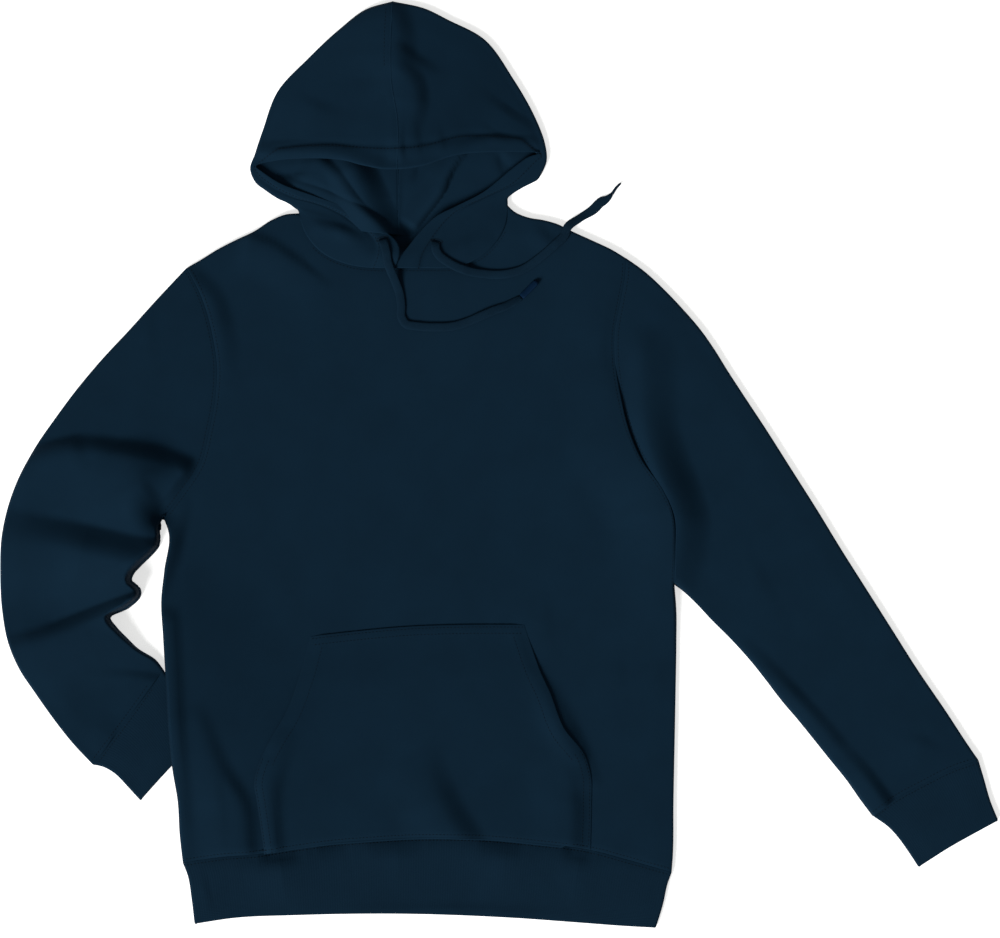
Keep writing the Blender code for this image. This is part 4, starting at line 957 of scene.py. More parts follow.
def finish_named(name, maker, *settings):
    """The material of that name, made the first time it is asked for."""
    return bpy.data.materials.get(name) or maker(name, *settings)


def fleece_finishes():
    colour = tuple(bpy.context.scene.hoodie_finishes.navy)
    outside = finish_named("navy_jersey_fleece_face", jersey_fleece, colour, False)
    inside = finish_named("navy_brushed_fleece_back", jersey_fleece, colour, True)
    return [outside, inside]


def rib_finishes():
    colour = tuple(bpy.context.scene.hoodie_finishes.navy_rib)
    return [finish_named("navy_one_by_one_rib", rib_knit, colour)]


# Body.


def patch(bottom, top, left, right, across, up):
    """A grid between four seams: across and up are the shares of its columns and rows."""
    u = np.asarray(across)[None, :, None]
    v = np.asarray(up)[:, None, None]
    ruled = (1 - v) * bottom[None] + v * top[None]
    left_bow = left[:, None] - (1 - v) * bottom[0] - v * top[0]
    right_bow = right[:, None] - (1 - v) * bottom[-1] - v * top[-1]
    return ruled + (1 - u) ** BODY_BOW_FADE * left_bow + u**BODY_BOW_FADE * right_bow


def body_edges():
    return [soft_line(route) for route in (SIDE_RIGHT, SIDE_LEFT, SHOULDER_LEFT, SHOULDER_RIGHT)]


def body_top(neck, cell, shoulder_shares):
    """Top edge of a panel, from right to left: shoulder, neck, shoulder."""
    right, left = soft_line(SHOULDER_RIGHT)[::-1], soft_line(SHOULDER_LEFT)
    neck_line = soft_line(neck)
    neck_shares = np.linspace(0, 1, round(length_of(neck_line) / cell))
    shoulders = along(right, shoulder_shares), along(left[::-1], 1 - shoulder_shares[-2::-1])
    return np.concatenate([shoulders[0], along(neck_line, neck_shares)[1:], shoulders[1]])


def body_plan(neck, cell):
    """Grid of a body panel, the number of its rows below the armholes and of its shoulder columns."""
    sides = soft_line(SIDE_RIGHT)[::-1], soft_line(SIDE_LEFT)
    holes = soft_line(ARMHOLE_RIGHT)[::-1], soft_line(ARMHOLE_LEFT)[::-1]
    side_shares = spaced(length_of(sides[0]), cell, RIM, CLOSED_RIM)
    hole_shares = spaced(length_of(holes[1]), cell, CLOSED_RIM, QUARTER)
    shoulder_shares = spaced(length_of(soft_line(SHOULDER_RIGHT)[::-1]), cell, QUARTER, CLOSED_RIM)
    right, left = (
        np.concatenate([along(side, side_shares), along(hole, hole_shares)[1:]])
        for side, hole in zip(sides, holes)
    )
    top = body_top(neck, cell, shoulder_shares)
    across = (top[:, 0] - top[0, 0]) / (top[-1, 0] - top[0, 0])
    bottom = along(soft_line(WAIST_SEAM), across)
    up = (reach_of(right) / length_of(right) + reach_of(left) / length_of(left)) / 2
    return patch(bottom, top, right, left, across, up), len(side_shares), len(shoulder_shares)


def body_panel(name, neck, side, creases):
    """One panel of the body, laid face up as the front or face down as the back."""
    sizes = bpy.context.scene.hoodie_sizes
    plan, side_rows, shoulder_columns = body_plan(neck, sizes.cell / MM)
    sides = np.full(plan.shape[:2], float(side))
    sides[:side_rows, [0, -1]] = 0.0
    sides[-1, :shoulder_columns] = 0.0
    sides[-1, -shoulder_columns:] = 0.0
    upper_hole = ARMHOLE_LEFT[:6]
    routes = (("bent_armhole", ARMHOLE_RIGHT), ("armhole", upper_hole), ("neck", neck), ("waist", WAIST_SEAM))
    seams = [(kind, soft_line(route)) for kind, route in routes]
    outer = laid_heights(plan, sides, body_edges(), creases, lifted=True, seams=seams)
    middle = plan.shape[1] // 2
    return shell(name, outer, sizes.fleece_wall / MM, False, ALL_RIMS, "fleece", middle, SEAM_ROUNDING, side)


class HOODIE_OT_body(Operator):
    """Makes the front and back panels"""

    bl_idname = "hoodie.body"
    bl_label = "Body panels"

    def execute(self, context):
        front = body_panel("front_panel", NECK_FRONT, 1, (BODY_CREASES + BODY_EDGE_CREASES, []))
        back = body_panel("back_panel", NECK_BACK, -1, ([], UNDER_CREASES))
        return {"FINISHED"}


# Sleeves and ribs.


def bow_of(seam, shares, start, end):
    """How far a seam lies off the straight run between two points, at shares of its length."""
    return along(seam, shares) - (start + shares[:, None] * (end - start))


def layer_shares(width, count):
    """Shares across one layer of a tube: close ones round both folds, and even ones between."""
    near = np.array(QUARTER)
    inner = np.linspace(near[-1], width - near[-1], count)[1:-1]
    return np.concatenate([near, inner, width - near[::-1]]) / width


def tube_plan(starts, ends, seams, counts):
    """A flattened tube: ring i runs from starts[i] over the top to ends[i] and back along the under side.
    Its first and last rings follow the seams, whose bow fades along the tube."""
    reach = reach_of((starts + ends) / 2)
    plan = []
    for start, end, u in zip(starts, ends, reach / reach[-1]):
        halves = []
        for count in counts:
            shares = layer_shares(float(np.linalg.norm(end - start)), count)
            first_bow, last_bow = (bow_of(seams[k], shares, starts[k], ends[k]) for k in (0, -1))
            straight = start + shares[:, None] * (end - start)
            halves.append(straight + (1 - u) ** TUBE_BOW_FADE * first_bow + u**TUBE_BOW_FADE * last_bow)
        plan.append(np.concatenate([halves[0], halves[1][-2:0:-1]]))
    return np.array(plan)


def tube(name, starts, ends, routes, kinds, counts, creases, slot, lifted=False, ribs=None):
    """A flattened tube of cloth between two seams, open at both ends, with counts columns in its layers."""
    sizes = bpy.context.scene.hoodie_sizes
    wall = (sizes.rib_wall if slot == "rib" else sizes.fleece_wall) / MM
    seams = [soft_line(route) for route in routes]
    turn = float(np.cross(starts[-1] - starts[0], ends[0] - starts[0]))
    edges = [starts, ends[::-1]] if turn > 0 else [starts[::-1], ends]
    plan = tube_plan(starts, ends, seams, counts)
    last_top = counts[0] + 2 * len(QUARTER) - 3
    plan[0] -= SEAM_LAP * unit(plan[LAP_ROWS] - plan[0])
    plan[-1] += SEAM_LAP * unit(plan[-1] - plan[-1 - LAP_ROWS])
    sides = np.full(plan.shape[:2], -1.0)
    sides[:, : last_top + 1] = 1.0
    sides[:, [0, last_top]] = 0.0
    outer = laid_heights(plan, sides, edges, creases, lifted, seams=list(zip(kinds, seams)))
    if ribs:
        outer = rib_columns(outer, *ribs)
    return shell(name, outer, wall, True, END_RIMS, slot, last_top // 2, SEAM_ROUNDING)


def rib_columns(outer, count, height):
    """Raises a rib on every other column pair of the ring, square to the cloth."""
    normals = grid_normals(outer, True)
    centre = outer.mean(axis=1, keepdims=True)
    normals *= np.sign(((outer - centre) * normals).sum())
    closed = np.concatenate([outer, outer[:, :1]], axis=1)
    reach = np.cumsum(np.linalg.norm(np.diff(closed, axis=1), axis=2), axis=1)
    share = (reach - reach[:, :1]) / reach[:, -1:]
    wave = 0.5 + 0.5 * np.cos(2 * math.pi * count * share)
    near = np.minimum(rim_distance(outer, END_RIMS) / RIB_EDGE, 1.0)
    return outer - (height * near * (1 - wave))[..., None] * normals


def straight_sleeve(cell):
    """The left sleeve."""
    upper, lower = soft_line(LEFT_UPPER), soft_line(LEFT_LOWER)
    sampled = np.linspace(0, 1, SLEEVE_SAMPLES)
    shares = spaced(length_of((along(upper, sampled) + along(lower, sampled)) / 2), cell)
    made = tube(
        "sleeve_left", along(upper, shares), along(lower, shares), (ARMHOLE_LEFT, LEFT_CUFF_SEAM),
        ("armhole", "cuff"), LEFT_COLUMNS, (SLEEVE_LEFT_CREASES, echoed(SLEEVE_LEFT_CREASES)), "fleece",
    )


def bent_sleeve(cell):
    """The right sleeve, whose rings turn with its elbow."""
    lines = soft_line(np.array(RIGHT_RUNGS, float), steps=20)
    middle = (lines[:, :2] + lines[:, 2:]) / 2
    at = spaced(length_of(middle), cell * BENT_CELL)
    reach = reach_of(middle) / length_of(middle)
    rows = np.stack([np.interp(at, reach, lines[:, k]) for k in range(4)], axis=1)
    made = tube(
        "sleeve_right", rows[:, :2], rows[:, 2:], (ARMHOLE_RIGHT, RIGHT_CUFF_SEAM), ("bent_armhole", "cuff"),
        RIGHT_COLUMNS, (SLEEVE_RIGHT_CREASES, echoed(SLEEVE_RIGHT_CREASES)), "fleece",
    )


class HOODIE_OT_sleeves(Operator):
    """Makes the straight left sleeve and the bent right one"""

    bl_idname = "hoodie.sleeves"
    bl_label = "Sleeves"

    def execute(self, context):
        cell = context.scene.hoodie_sizes.cell / MM
        straight_sleeve(cell)
        bent_sleeve(cell)
        return {"FINISHED"}


def rib_tube(name, upper, lower, routes, kinds, creases, lifted=False):
    """A folded rib band: its columns follow the ribs."""
    sizes = bpy.context.scene.hoodie_sizes
    starts, ends = soft_line(upper), soft_line(lower)
    shares = spaced(length_of(starts), RIB_CELL)
    pitch = sizes.rib_pitch / MM
    width = length_of(soft_line(routes[0]))
    points = round(width / pitch * RIB_POINTS)
    ribs = (round(2 * width / pitch), sizes.rib_height / MM)
    starts, ends = along(starts, shares), along(ends, shares)
    return tube(name, starts, ends, routes, kinds, (points, points), creases, "rib", lifted, ribs)


class HOODIE_OT_ribs(Operator):
    """Makes the two cuffs and the waistband"""

    bl_idname = "hoodie.ribs"
    bl_label = "Cuffs and waistband"

    def execute(self, context):
        cuffs = (
            ("cuff_left", LEFT_CUFF_UPPER, LEFT_CUFF_LOWER, (LEFT_CUFF_SEAM, LEFT_CUFF_END)),
            ("cuff_right", RIGHT_CUFF_OUTER, RIGHT_CUFF_INNER, (RIGHT_CUFF_SEAM, RIGHT_CUFF_END)),
        )
        for cuff in cuffs:
            rib_tube(*cuff, ("cuff", "crown"), ([], []))
        band = ("waistband", BAND_RIGHT, BAND_LEFT, (WAIST_SEAM, HEM))
        rib_tube(*band, ("waist", "crown"), (BAND_CREASES, []), True)
        return {"FINISHED"}


# Pocket.


def surface_tree(names):
    """The made surfaces, for laying trims on them."""
    points, faces = [], []
    for name in names:
        mesh = bpy.data.objects[name].data
        start = len(points)
        points += [v.co.copy() for v in mesh.vertices]
        faces += [[start + k for k in face.vertices] for face in mesh.polygons]
    return BVHTree.FromPolygons(points, faces)


def height_at(tree, x, y, least=0.0):
    """The highest surface at a plan point in millimetres."""
    found = tree.ray_cast(Vector((x * MM, y * MM, 1.0)), Vector((0, 0, -1)))[0]
    return found.z / MM if found else least


def pocket_plan(left, right, top_line):
    """The pocket's grid, whose bottom row lies on the waist seam."""
    up = spaced(length_of(left), POCKET_CELLS[1])
    across = spaced(length_of(top_line) * POCKET_WIDENING, POCKET_CELLS[0])
    waist = soft_line(WAIST_SEAM)
    seam_x = np.interp(across, [0, 1], [right[0, 0], left[0, 0]])
    bottom = np.column_stack([seam_x, np.interp(seam_x, waist[:, 0], waist[:, 1])])
    left_side, right_side = along(left, up), along(right, up)
    left_side[0], right_side[0] = bottom[-1], bottom[0]
    return patch(bottom, along(top_line, across), right_side, left_side, across, up)


def opening_lift(points, openings):
    """How far the cloth stands off along the hand openings."""
    lift = np.zeros(len(points))
    for edge, most in zip(openings, OPENING_LIFTS):
        far, share = line_distance(points, edge)[:2]
        opened = most * np.interp(share, *OPENING_PROFILE)
        lift = np.maximum(lift, opened * np.exp(-((far / OPENING_LIFT_WIDTH) ** 2)))
    return lift


def doubled(far, width):
    """1 on a hem of that width and 0 on single cloth, by the distance from the edge."""
    return smooth_step((width + 1 - far) / 2)


def pocket_heights(points, left, right, top_line, wall):
    """The pocket's outside: the front panel's surface, moved out and shaped."""
    tree = surface_tree(["front_panel_cloth"])
    floor = np.array([height_at(tree, x, y, LAID_HEIGHT + PUFF) for x, y in points])
    openings = [edge[int(len(edge) * OPENING_START) :] for edge in (left, right)]
    sewn_edges = [edge[: int(len(edge) * OPENING_START)] for edge in (left, right)]
    top_far, side_far = nearest(points, [top_line]), nearest(points, [left, right])
    sewn_far, opened_far = nearest(points, sewn_edges), nearest(points, openings)
    lift = opening_lift(points, openings) * smooth_step(top_far / OPENING_TOP)
    top_hem = doubled(top_far, POCKET_HEM) * smooth_step(top_far / TOP_HEM_START)
    hem = np.maximum(doubled(opened_far, OPENING_HEM), top_hem)
    loft = POCKET_LOFT * smooth_step(np.minimum(side_far, top_far) / LOFT_EDGE)
    loft += POCKET_RIPPLE * ripple(points)
    height = floor + SEAM_LAP + wall + lift + HEM_RISE * hem + np.maximum(loft, 0)
    height += crease_height(points, POCKET_CREASES) * smooth_step(side_far / CREASE_EDGE)
    side_sink = SEWN_SINK * (1 - smooth_step(sewn_far / SINK_WIDTH))
    top_sink = TOP_SINK * (1 - smooth_step((top_far - POCKET_HEM) / TOP_SINK_WIDTH))
    height -= np.maximum(side_sink, top_sink)
    opened_sink = OPENING_SINK * (1 - smooth_step(opened_far / SINK_WIDTH))
    return height - opened_sink * smooth_step(sewn_far / SINK_WIDTH)


class HOODIE_OT_pocket(Operator):
    """Makes the kangaroo pocket from the front panel's surface, moved out"""

    bl_idname = "hoodie.pocket"
    bl_label = "Pocket"

    def execute(self, context):
        wall = context.scene.hoodie_sizes.fleece_wall / MM
        edges = [soft_line(route) for route in (POCKET_LEFT_EDGE, POCKET_RIGHT_EDGE, POCKET_TOP_EDGE)]
        plan = pocket_plan(*edges)
        points = plan.reshape(-1, 2)
        outer = np.column_stack([points, pocket_heights(points, *edges, wall)]).reshape(*plan.shape[:2], 3)
        made = shell("pocket", outer, wall, False, ALL_RIMS, "fleece", plan.shape[1] // 2, LIP_ROUNDING)
        return {"FINISHED"}


# Hood.


def hood_rows(table, cell):
    """Rows of the table as a smooth run of lines about a cell apart at the fold."""
    spread = soft_line(np.array(table, float), steps=24)
    reach = (reach_of(spread[:, :2]) + reach_of(spread[:, 3:5])) / 2
    shares = spaced(reach[-1], cell)
    return np.stack([np.interp(shares * reach[-1], reach, spread[:, k]) for k in range(6)], axis=1)


def hood_top(v, ends, first_ends, neck, crown):
    """One line of the top layer, from the face edge to the fold, with its shares and the casing's width. v is
    the share of the way from the neck to the crown."""
    face, fold = ends
    quarter = np.array(QUARTER)
    long = float(np.linalg.norm(fold - face))
    width = min(CASING_WIDTH, CASING_SHARE * (long - EDGE_RADIUS))
    hemmed = CASING_STEPS / CASING_WIDTH * width
    rest = np.linspace(hemmed[-1], long - quarter[-1], TOP_COLUMNS)[1:-1]
    shares = np.concatenate([hemmed, rest, long - quarter[::-1]]) / long
    neck_bow = bow_of(neck, shares, *first_ends)
    crown_bow = bow_of(crown, shares, crown[0], crown[-1])
    fade = NECK_BOW_FADE + NOTCH_BOW_FADE * shares[:, None] ** 4
    straight = face + shares[:, None] * (fold - face)
    return straight + (1 - v) ** fade * neck_bow + v**CROWN_BOW_FADE * crown_bow, shares, long, width


def hood_under(v, ends, first_ends, neck):
    """One line of the under layer, from the fold to the centre seam."""
    fold, seam = ends
    long = float(np.linalg.norm(seam - fold))
    shares = np.concatenate([QUARTER[1:], np.linspace(QUARTER[-1], long, UNDER_COLUMNS)[1:]]) / long
    bow = bow_of(neck, shares, *first_ends)
    return fold + shares[:, None] * (seam - fold) + (1 - v) ** BACK_BOW_FADE * bow


def casing_profile(shares, long, width, lip):
    """Height of one line of the top layer, where the lip falls to the fold and the casing stands out, and how
    far its cloth is doubled."""
    distance = shares * long
    past, soft = CASING_EDGE
    band = smooth_step((width + past - distance) / soft) * min(1.0, width / CASING_FULL)
    groove = CASING_GROOVE * np.exp(-(((distance - width - GROOVE_OFFSET) / CASING_GROOVE_WIDTH) ** 2))
    falling = np.clip(1 - shares, 0, 1) ** LIP_FALL
    rise = (lip - LAID_HEIGHT - PUFF) * falling + CASING_RISE * band - groove
    return rise * smooth_step((long - distance) / FOLD_FADE), band


def lining_rise(under, fold):
    """How far the lining lifts off the table, inward from the fold and up from its foot."""
    inward = smooth_step(nearest(under, [fold]) / LINING_RISE[0])
    return LINING_LIFT * inward * smooth_step((under[:, 1] - LINING_FOOT) / LINING_RISE[1])


def hood_grid(rows, gap, neck_seams, crown):
    """Plan, rise and thickness of half of the hood, line by line."""
    sizes = bpy.context.scene.hoodie_sizes
    fleece, casing_wall = sizes.fleece_wall / MM, sizes.casing_wall / MM
    face, lip, fold, seam_y = rows[:, :2], rows[:, 2], rows[:, 3:5], rows[:, 5]
    back = soft_line(HOOD_BACK_SEAM)
    seam = np.stack([np.interp(seam_y, back[:, 1], back[:, 0]), seam_y], axis=1)
    reach = (reach_of(face) + reach_of(fold)) / 2
    plan, rises, walls = [], [], []
    for i, v in enumerate(reach / reach[-1]):
        top, shares, long, width = hood_top(v, (face[i], fold[i]), (face[0], fold[0]), neck_seams[0], crown)
        under = hood_under(v, (fold[i], seam[i]), (fold[0], seam[0]), neck_seams[1])
        rise, band = casing_profile(shares, long, width, lip[i])
        thick = (fleece + (casing_wall - fleece) * band) * np.clip(long / NARROW_WALL[0], NARROW_WALL[1], 1)
        plan.append(np.concatenate([top, under]))
        rises.append(np.concatenate([rise, lining_rise(under, fold)]))
        walls.append(np.concatenate([thick, np.full(len(under), fleece)]))
    plan, walls = np.array(plan), np.array(walls)
    tight = smooth_step(np.linalg.norm(plan - fold[0], axis=2) / NOTCH_REACH)
    plan[-1, :, 0] += gap
    plan[:-1, -1, 0] += gap
    lap = SEAM_LAP * smooth_step(nearest(plan[0], [fold]) / LAP_FADE)[:, None]
    plan[0] -= lap * unit(plan[LAP_ROWS] - plan[0])
    return plan, np.array(rises), NOTCH_WALL + (walls - NOTCH_WALL) * tight


def hood_half(name, table, gap, neck_seams):
    """Half of the hood, from its face edge round the side fold to the centre seam beneath."""
    rows = hood_rows(table, bpy.context.scene.hoodie_sizes.hood_cell / MM)
    face, fold = rows[:, :2], rows[:, 3:5]
    crown = soft_line(CROWN_SEAM)
    plan, rises, walls = hood_grid(rows, gap, neck_seams, crown)
    sides = np.full(plan.shape[:2], -1.0)
    fold_column = len(CASING_STEPS) + TOP_COLUMNS - 2 + len(QUARTER) - 1
    sides[:, : fold_column + 1] = 1.0
    sides[:, fold_column] = 0.0
    silhouette = fold if np.cross(fold[1] - fold[0], face[0] - fold[0]) > 0 else fold[::-1]
    outer = laid_heights(
        plan, sides, [silhouette], (CROWN_CREASES, LINING_CREASES), rises=rises,
        seams=[("crown", crown), ("neck", neck_seams[0])],
    )
    return shell(name, outer, walls, False, ["first_column"], "fleece", fold_column // 2, LIP_ROUNDING)


def neck_halves(front_half, back_half):
    """Neck seam lines from the hood's centre to the notch, and from the notch to the centre beneath."""
    front = along(soft_line(NECK_FRONT), np.linspace(*front_half, NECK_POINTS))
    back = along(soft_line(NECK_BACK), np.linspace(*back_half, NECK_POINTS))
    return front, back


class HOODIE_OT_hood(Operator):
    """Makes the two halves of the hood, with the casing round the face"""

    bl_idname = "hoodie.hood"
    bl_label = "Hood"

    def execute(self, context):
        right_seams = neck_halves((NECK_FRONT_CENTRE, 0), (0, NECK_BACK_CENTRE))
        left_seams = neck_halves((NECK_FRONT_CENTRE, 1), (1, NECK_BACK_CENTRE))
        hood_half("hood_right", HOOD_RIGHT, SEAM_LAP, right_seams)
        hood_half("hood_left", HOOD_LEFT, -SEAM_LAP, left_seams)
        return {"FINISHED"}


# Cords.


def cord_path(tree, end, thickness):
    """The cord's centre line, lying on whatever is under it, eased between the high places, and lifted where
    its end is turned on edge."""
    line = soft_line(end.route)
    plan = along(line, np.linspace(0, 1, round(length_of(line) / CORD_STEP) + 1))
    run = unit(np.gradient(plan, axis=0))
    near = (-CORD_PROBE, 0, CORD_PROBE)
    rest = []
    for p, side, way in zip(plan, side_of(run), run):
        probes = [p + a * side + b * way for a in near for b in near]
        rest.append(max(height_at(tree, *probe) for probe in probes))
    lowest = np.array(rest) + CORD_CLEARANCE + thickness / 2
    height = lowest.copy()
    for _ in range(CORD_EASING):
        height[1:-1] = np.maximum(lowest[1:-1], (height[:-2] + 2 * height[1:-1] + height[2:]) / 4)
    height[: len(CORD_DIVE)] -= CORD_DIVE
    start, share = TAIL
    height += end.tail_lift * smooth_step((np.linspace(0, 1, len(height)) - start) / share)
    return np.column_stack([plan, height])


def cord_rings(path, width, thickness, rolls, scales):
    """Rings of a flat rounded section along the path, turned by the rolls."""
    run = unit(np.gradient(path, axis=0))
    side = unit(np.cross(run, [0.0, 0.0, 1.0]))
    up = np.cross(side, run)
    shares = reach_of(path) / length_of(path)
    roll = np.radians(np.interp(shares, *zip(*rolls)))[:, None]
    turned_side = (side * np.cos(roll) + up * np.sin(roll))[:, None]
    turned_up = (up * np.cos(roll) - side * np.sin(roll))[:, None]
    angles = np.arange(CORD_SIDES) / CORD_SIDES * 2 * math.pi
    x, y = (
        (np.sign(wave) * np.abs(wave) ** (2 / CORD_SQUARENESS) * size / 2)[None, :, None]
        for wave, size in ((np.cos(angles), width), (np.sin(angles), thickness))
    )
    scale = np.interp(shares, *zip(*scales))[:, None, None]
    return path[:, None] + scale * (x * turned_side + y * turned_up)


def cord_faces(rings, reach):
    """Quads between the rings and triangles at both ends, with the cloth coordinates of their corners."""
    count = len(rings)
    around = reach_of(rings[0])
    around = np.append(around, 2 * around[-1] - around[-2])

    def at(row, column):
        return row * CORD_SIDES + column % CORD_SIDES

    faces, uvs = [], []
    for i in range(count - 1):
        for j in range(CORD_SIDES):
            faces.append([at(i, j), at(i + 1, j), at(i + 1, j + 1), at(i, j + 1)])
            uvs += [(around[j], reach[i]), (around[j], reach[i + 1])]
            uvs += [(around[j + 1], reach[i + 1]), (around[j + 1], reach[i])]
    for cap, row in ((count * CORD_SIDES, 0), (count * CORD_SIDES + 1, count - 1)):
        for j in range(CORD_SIDES):
            pair = [at(row, j), at(row, j + 1)]
            faces.append([cap, *(pair if row == 0 else pair[::-1])])
            uvs += [(0.0, reach[row])] * 3
    return faces, uvs


def flat_cord(name, path, section, rolls, scales, finish, slot):
    """A flat cord swept along its path, with closed ends. section is its width and thickness."""
    rings = cord_rings(path, *section, rolls, scales)
    points = np.concatenate([rings.reshape(-1, 3), path[:1], path[-1:]]) * MM
    faces, uvs = cord_faces(rings, reach_of(path))
    corners = points[[f[:3] for f in faces]]
    if np.einsum("ij,ij->", corners[:, 0], np.cross(corners[:, 1], corners[:, 2])) < 0:
        faces = [f[::-1] for f in faces]
    mesh = bpy.data.meshes.new(name)
    mesh.from_pydata(points.tolist(), [], faces)
    layer = mesh.uv_layers.new(name="cloth")
    layer.data.foreach_set("uv", (np.array(uvs) * MM).astype(np.float32).ravel())
    mesh.materials.append(finish)
    mesh.shade_smooth()
    return new_piece(name, mesh)


def tip_path(path, route):
    """The tip's centre line, which goes on from the cord's end."""
    line = soft_line([tuple(path[-1, :2]), *route])
    line = along(line, np.linspace(0, 1, TIP_RINGS))
    return np.column_stack([line, np.full(len(line), path[-1, 2])])


class HOODIE_OT_cords(Operator):
    """Makes the two drawcord ends and their tips"""

    bl_idname = "hoodie.cords"
    bl_label = "Drawcord ends"

    def execute(self, context):
        sizes = context.scene.hoodie_sizes
        finishes = context.scene.hoodie_finishes
        woven = finish_named("navy_flat_woven_cord", woven_cord, tuple(finishes.navy_cord))
        # The wrapped tip's blue colour is painted reflection, standing in for light reflected in its clear
        # film.
        blue = finish_named("blue_wrapped_tip", wrapped_tip, tuple(finishes.blue_tip), TIP_ROUGHNESS["wrap"])
        dark = finish_named("dark_moulded_tip", wrapped_tip, tuple(finishes.dark_tip), TIP_ROUGHNESS["spike"])
        tip_looks = {"wrap": (blue, "blue_tip"), "spike": (dark, "dark_tip")}
        section = (sizes.cord_width / MM, sizes.cord_thickness / MM)
        below = ("front_panel", "pocket", "hood_left", "hood_right", "sleeve_left")
        tree = surface_tree([node + "_cloth" for node in below])
        paths = [cord_path(tree, end, section[1]) for end in CORD_ENDS]
        cords, tips = [], []
        for end, path in zip(CORD_ENDS, paths):
            name = f"cord_{end.side}_woven"
            cords.append(flat_cord(name, path, section, end.rolls, end.scales, woven, "cord"))
        for end, path in zip(CORD_ENDS, paths):
            shape = (end.tip_section, end.tip_rolls, end.tip_scales)
            name = f"cord_tip_{end.side}_{end.tip}"
            tips.append(flat_cord(name, tip_path(path, end.tip_route), *shape, *tip_looks[end.tip]))
        for end, cord, tip, path in zip(CORD_ENDS, cords, tips, paths):
            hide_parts("cord_" + end.side)
            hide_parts("cord_tip_" + end.side)
        return {"FINISHED"}


# Sewing.


def offset_line(route, offset, start=0.0, end=1.0):
    """A smooth plan line moved to its left by the offset, between two shares of its length."""
    line = soft_line(route)
    count = max(LEAST_STEPS, round(length_of(line) * (end - start) / SEWN_STEP))
    line = along(line, np.linspace(start, end, count))
    run = unit(np.gradient(line, axis=0))
    return line + offset * side_of(run)


def draped(tree, plan, above, under=False):
    """The plan line laid on the highest surface, or against the lowest one from beneath."""
    way = Vector((0, 0, 1 if under else -1))
    found = []
    for x, y in plan:
        hit = tree.ray_cast(Vector((x * MM, y * MM, -1.0 if under else 1.0)), way)[0]
        if hit:
            found.append((x, y, hit.z / MM + (-above if under else above)))
    return np.array(found)


def grid_line(name, column, above):
    """A column of a made cloth's outside, as a line in millimetres."""
    piece = bpy.data.objects[name]
    index = np.arange(piece["rows"]) * piece["columns"] + column
    points = np.array([piece.data.vertices[int(i)].co for i in index]) / MM
    points[:, 2] += above
    return points


def slit_ring(route):
    """A closed oval round a cord's exit, whose long axis is square to the cord."""
    start, run = np.array(route[0], float), unit(np.array(route[1], float) - route[0])
    turns = np.linspace(0, 2 * math.pi, SLIT_POINTS)[:, None]
    side = np.array([-run[1], run[0]])
    return start + SLIT[0] / 2 * np.cos(turns) * side + SLIT[1] / 2 * np.sin(turns) * run


def row_tree():
    """A node tree with the inputs of a row of stitches, and the node that gives them."""
    tree = bpy.data.node_groups.new("thread_rows", "GeometryNodeTree")
    kinds = {
        "Lines": "Geometry", "Pitch": "Float", "Length": "Float", "Thread": "Float", "Turn": "Float",
        "Finish": "Material",
    }
    for name, kind in kinds.items():
        tree.interface.new_socket(name, in_out="INPUT", socket_type="NodeSocket" + kind)
    tree.interface.new_socket("Stitches", in_out="OUTPUT", socket_type="NodeSocketGeometry")
    return tree, add_node(tree, "NodeGroupInput").outputs


def stitch_tree():
    """Puts a thread capsule at each step of the lines, turned along them, and realizes them."""
    tree, given = row_tree()
    curve = add_node(tree, "GeometryNodeMeshToCurve", {"Mesh": given["Lines"]})
    links = {"Curve": curve, "Length": given["Pitch"]}
    steps = add_node(tree, "GeometryNodeResampleCurve", links, mode="LENGTH")
    tangent = add_node(tree, "GeometryNodeInputTangent")
    align = "FunctionNodeAlignRotationToVector"
    along_line = add_node(tree, align, {"Vector": tangent}, axis="X", pivot_axis="Z")
    turn = add_node(tree, "ShaderNodeCombineXYZ", {"Z": given["Turn"]})
    links = {"Rotation": along_line, "Rotate By": turn}
    spin = add_node(tree, "FunctionNodeRotateRotation", links, rotation_space="LOCAL")
    bead = add_node(tree, "GeometryNodeMeshUVSphere", Segments=6, Rings=4, Radius=0.5)
    links = {"X": given["Length"], "Y": given["Thread"], "Z": given["Thread"]}
    size = add_node(tree, "ShaderNodeCombineXYZ", links)
    links = {"Points": steps, "Instance": bead, "Rotation": spin, "Scale": size}
    beads = add_node(tree, "GeometryNodeInstanceOnPoints", links)
    real = add_node(tree, "GeometryNodeRealizeInstances", {"Geometry": beads})
    smooth = add_node(tree, "GeometryNodeSetShadeSmooth", {"Geometry": real})
    finish = add_node(tree, "GeometryNodeSetMaterial", {"Geometry": smooth, "Material": given["Finish"]})
    add_node(tree, "NodeGroupOutput", {"Stitches": finish})
    return tree


def guide_of(name, lines):
    """The lines as one object of loose edges."""
    points = np.concatenate(lines) * MM
    edges, start = [], 0
    for line in lines:
        edges += [(start + k, start + k + 1) for k in range(len(line) - 1)]
        start += len(line)
    mesh = bpy.data.meshes.new(name + "_lines")
    mesh.from_pydata(points.tolist(), edges, [])
    return placed(name + "_lines", mesh)


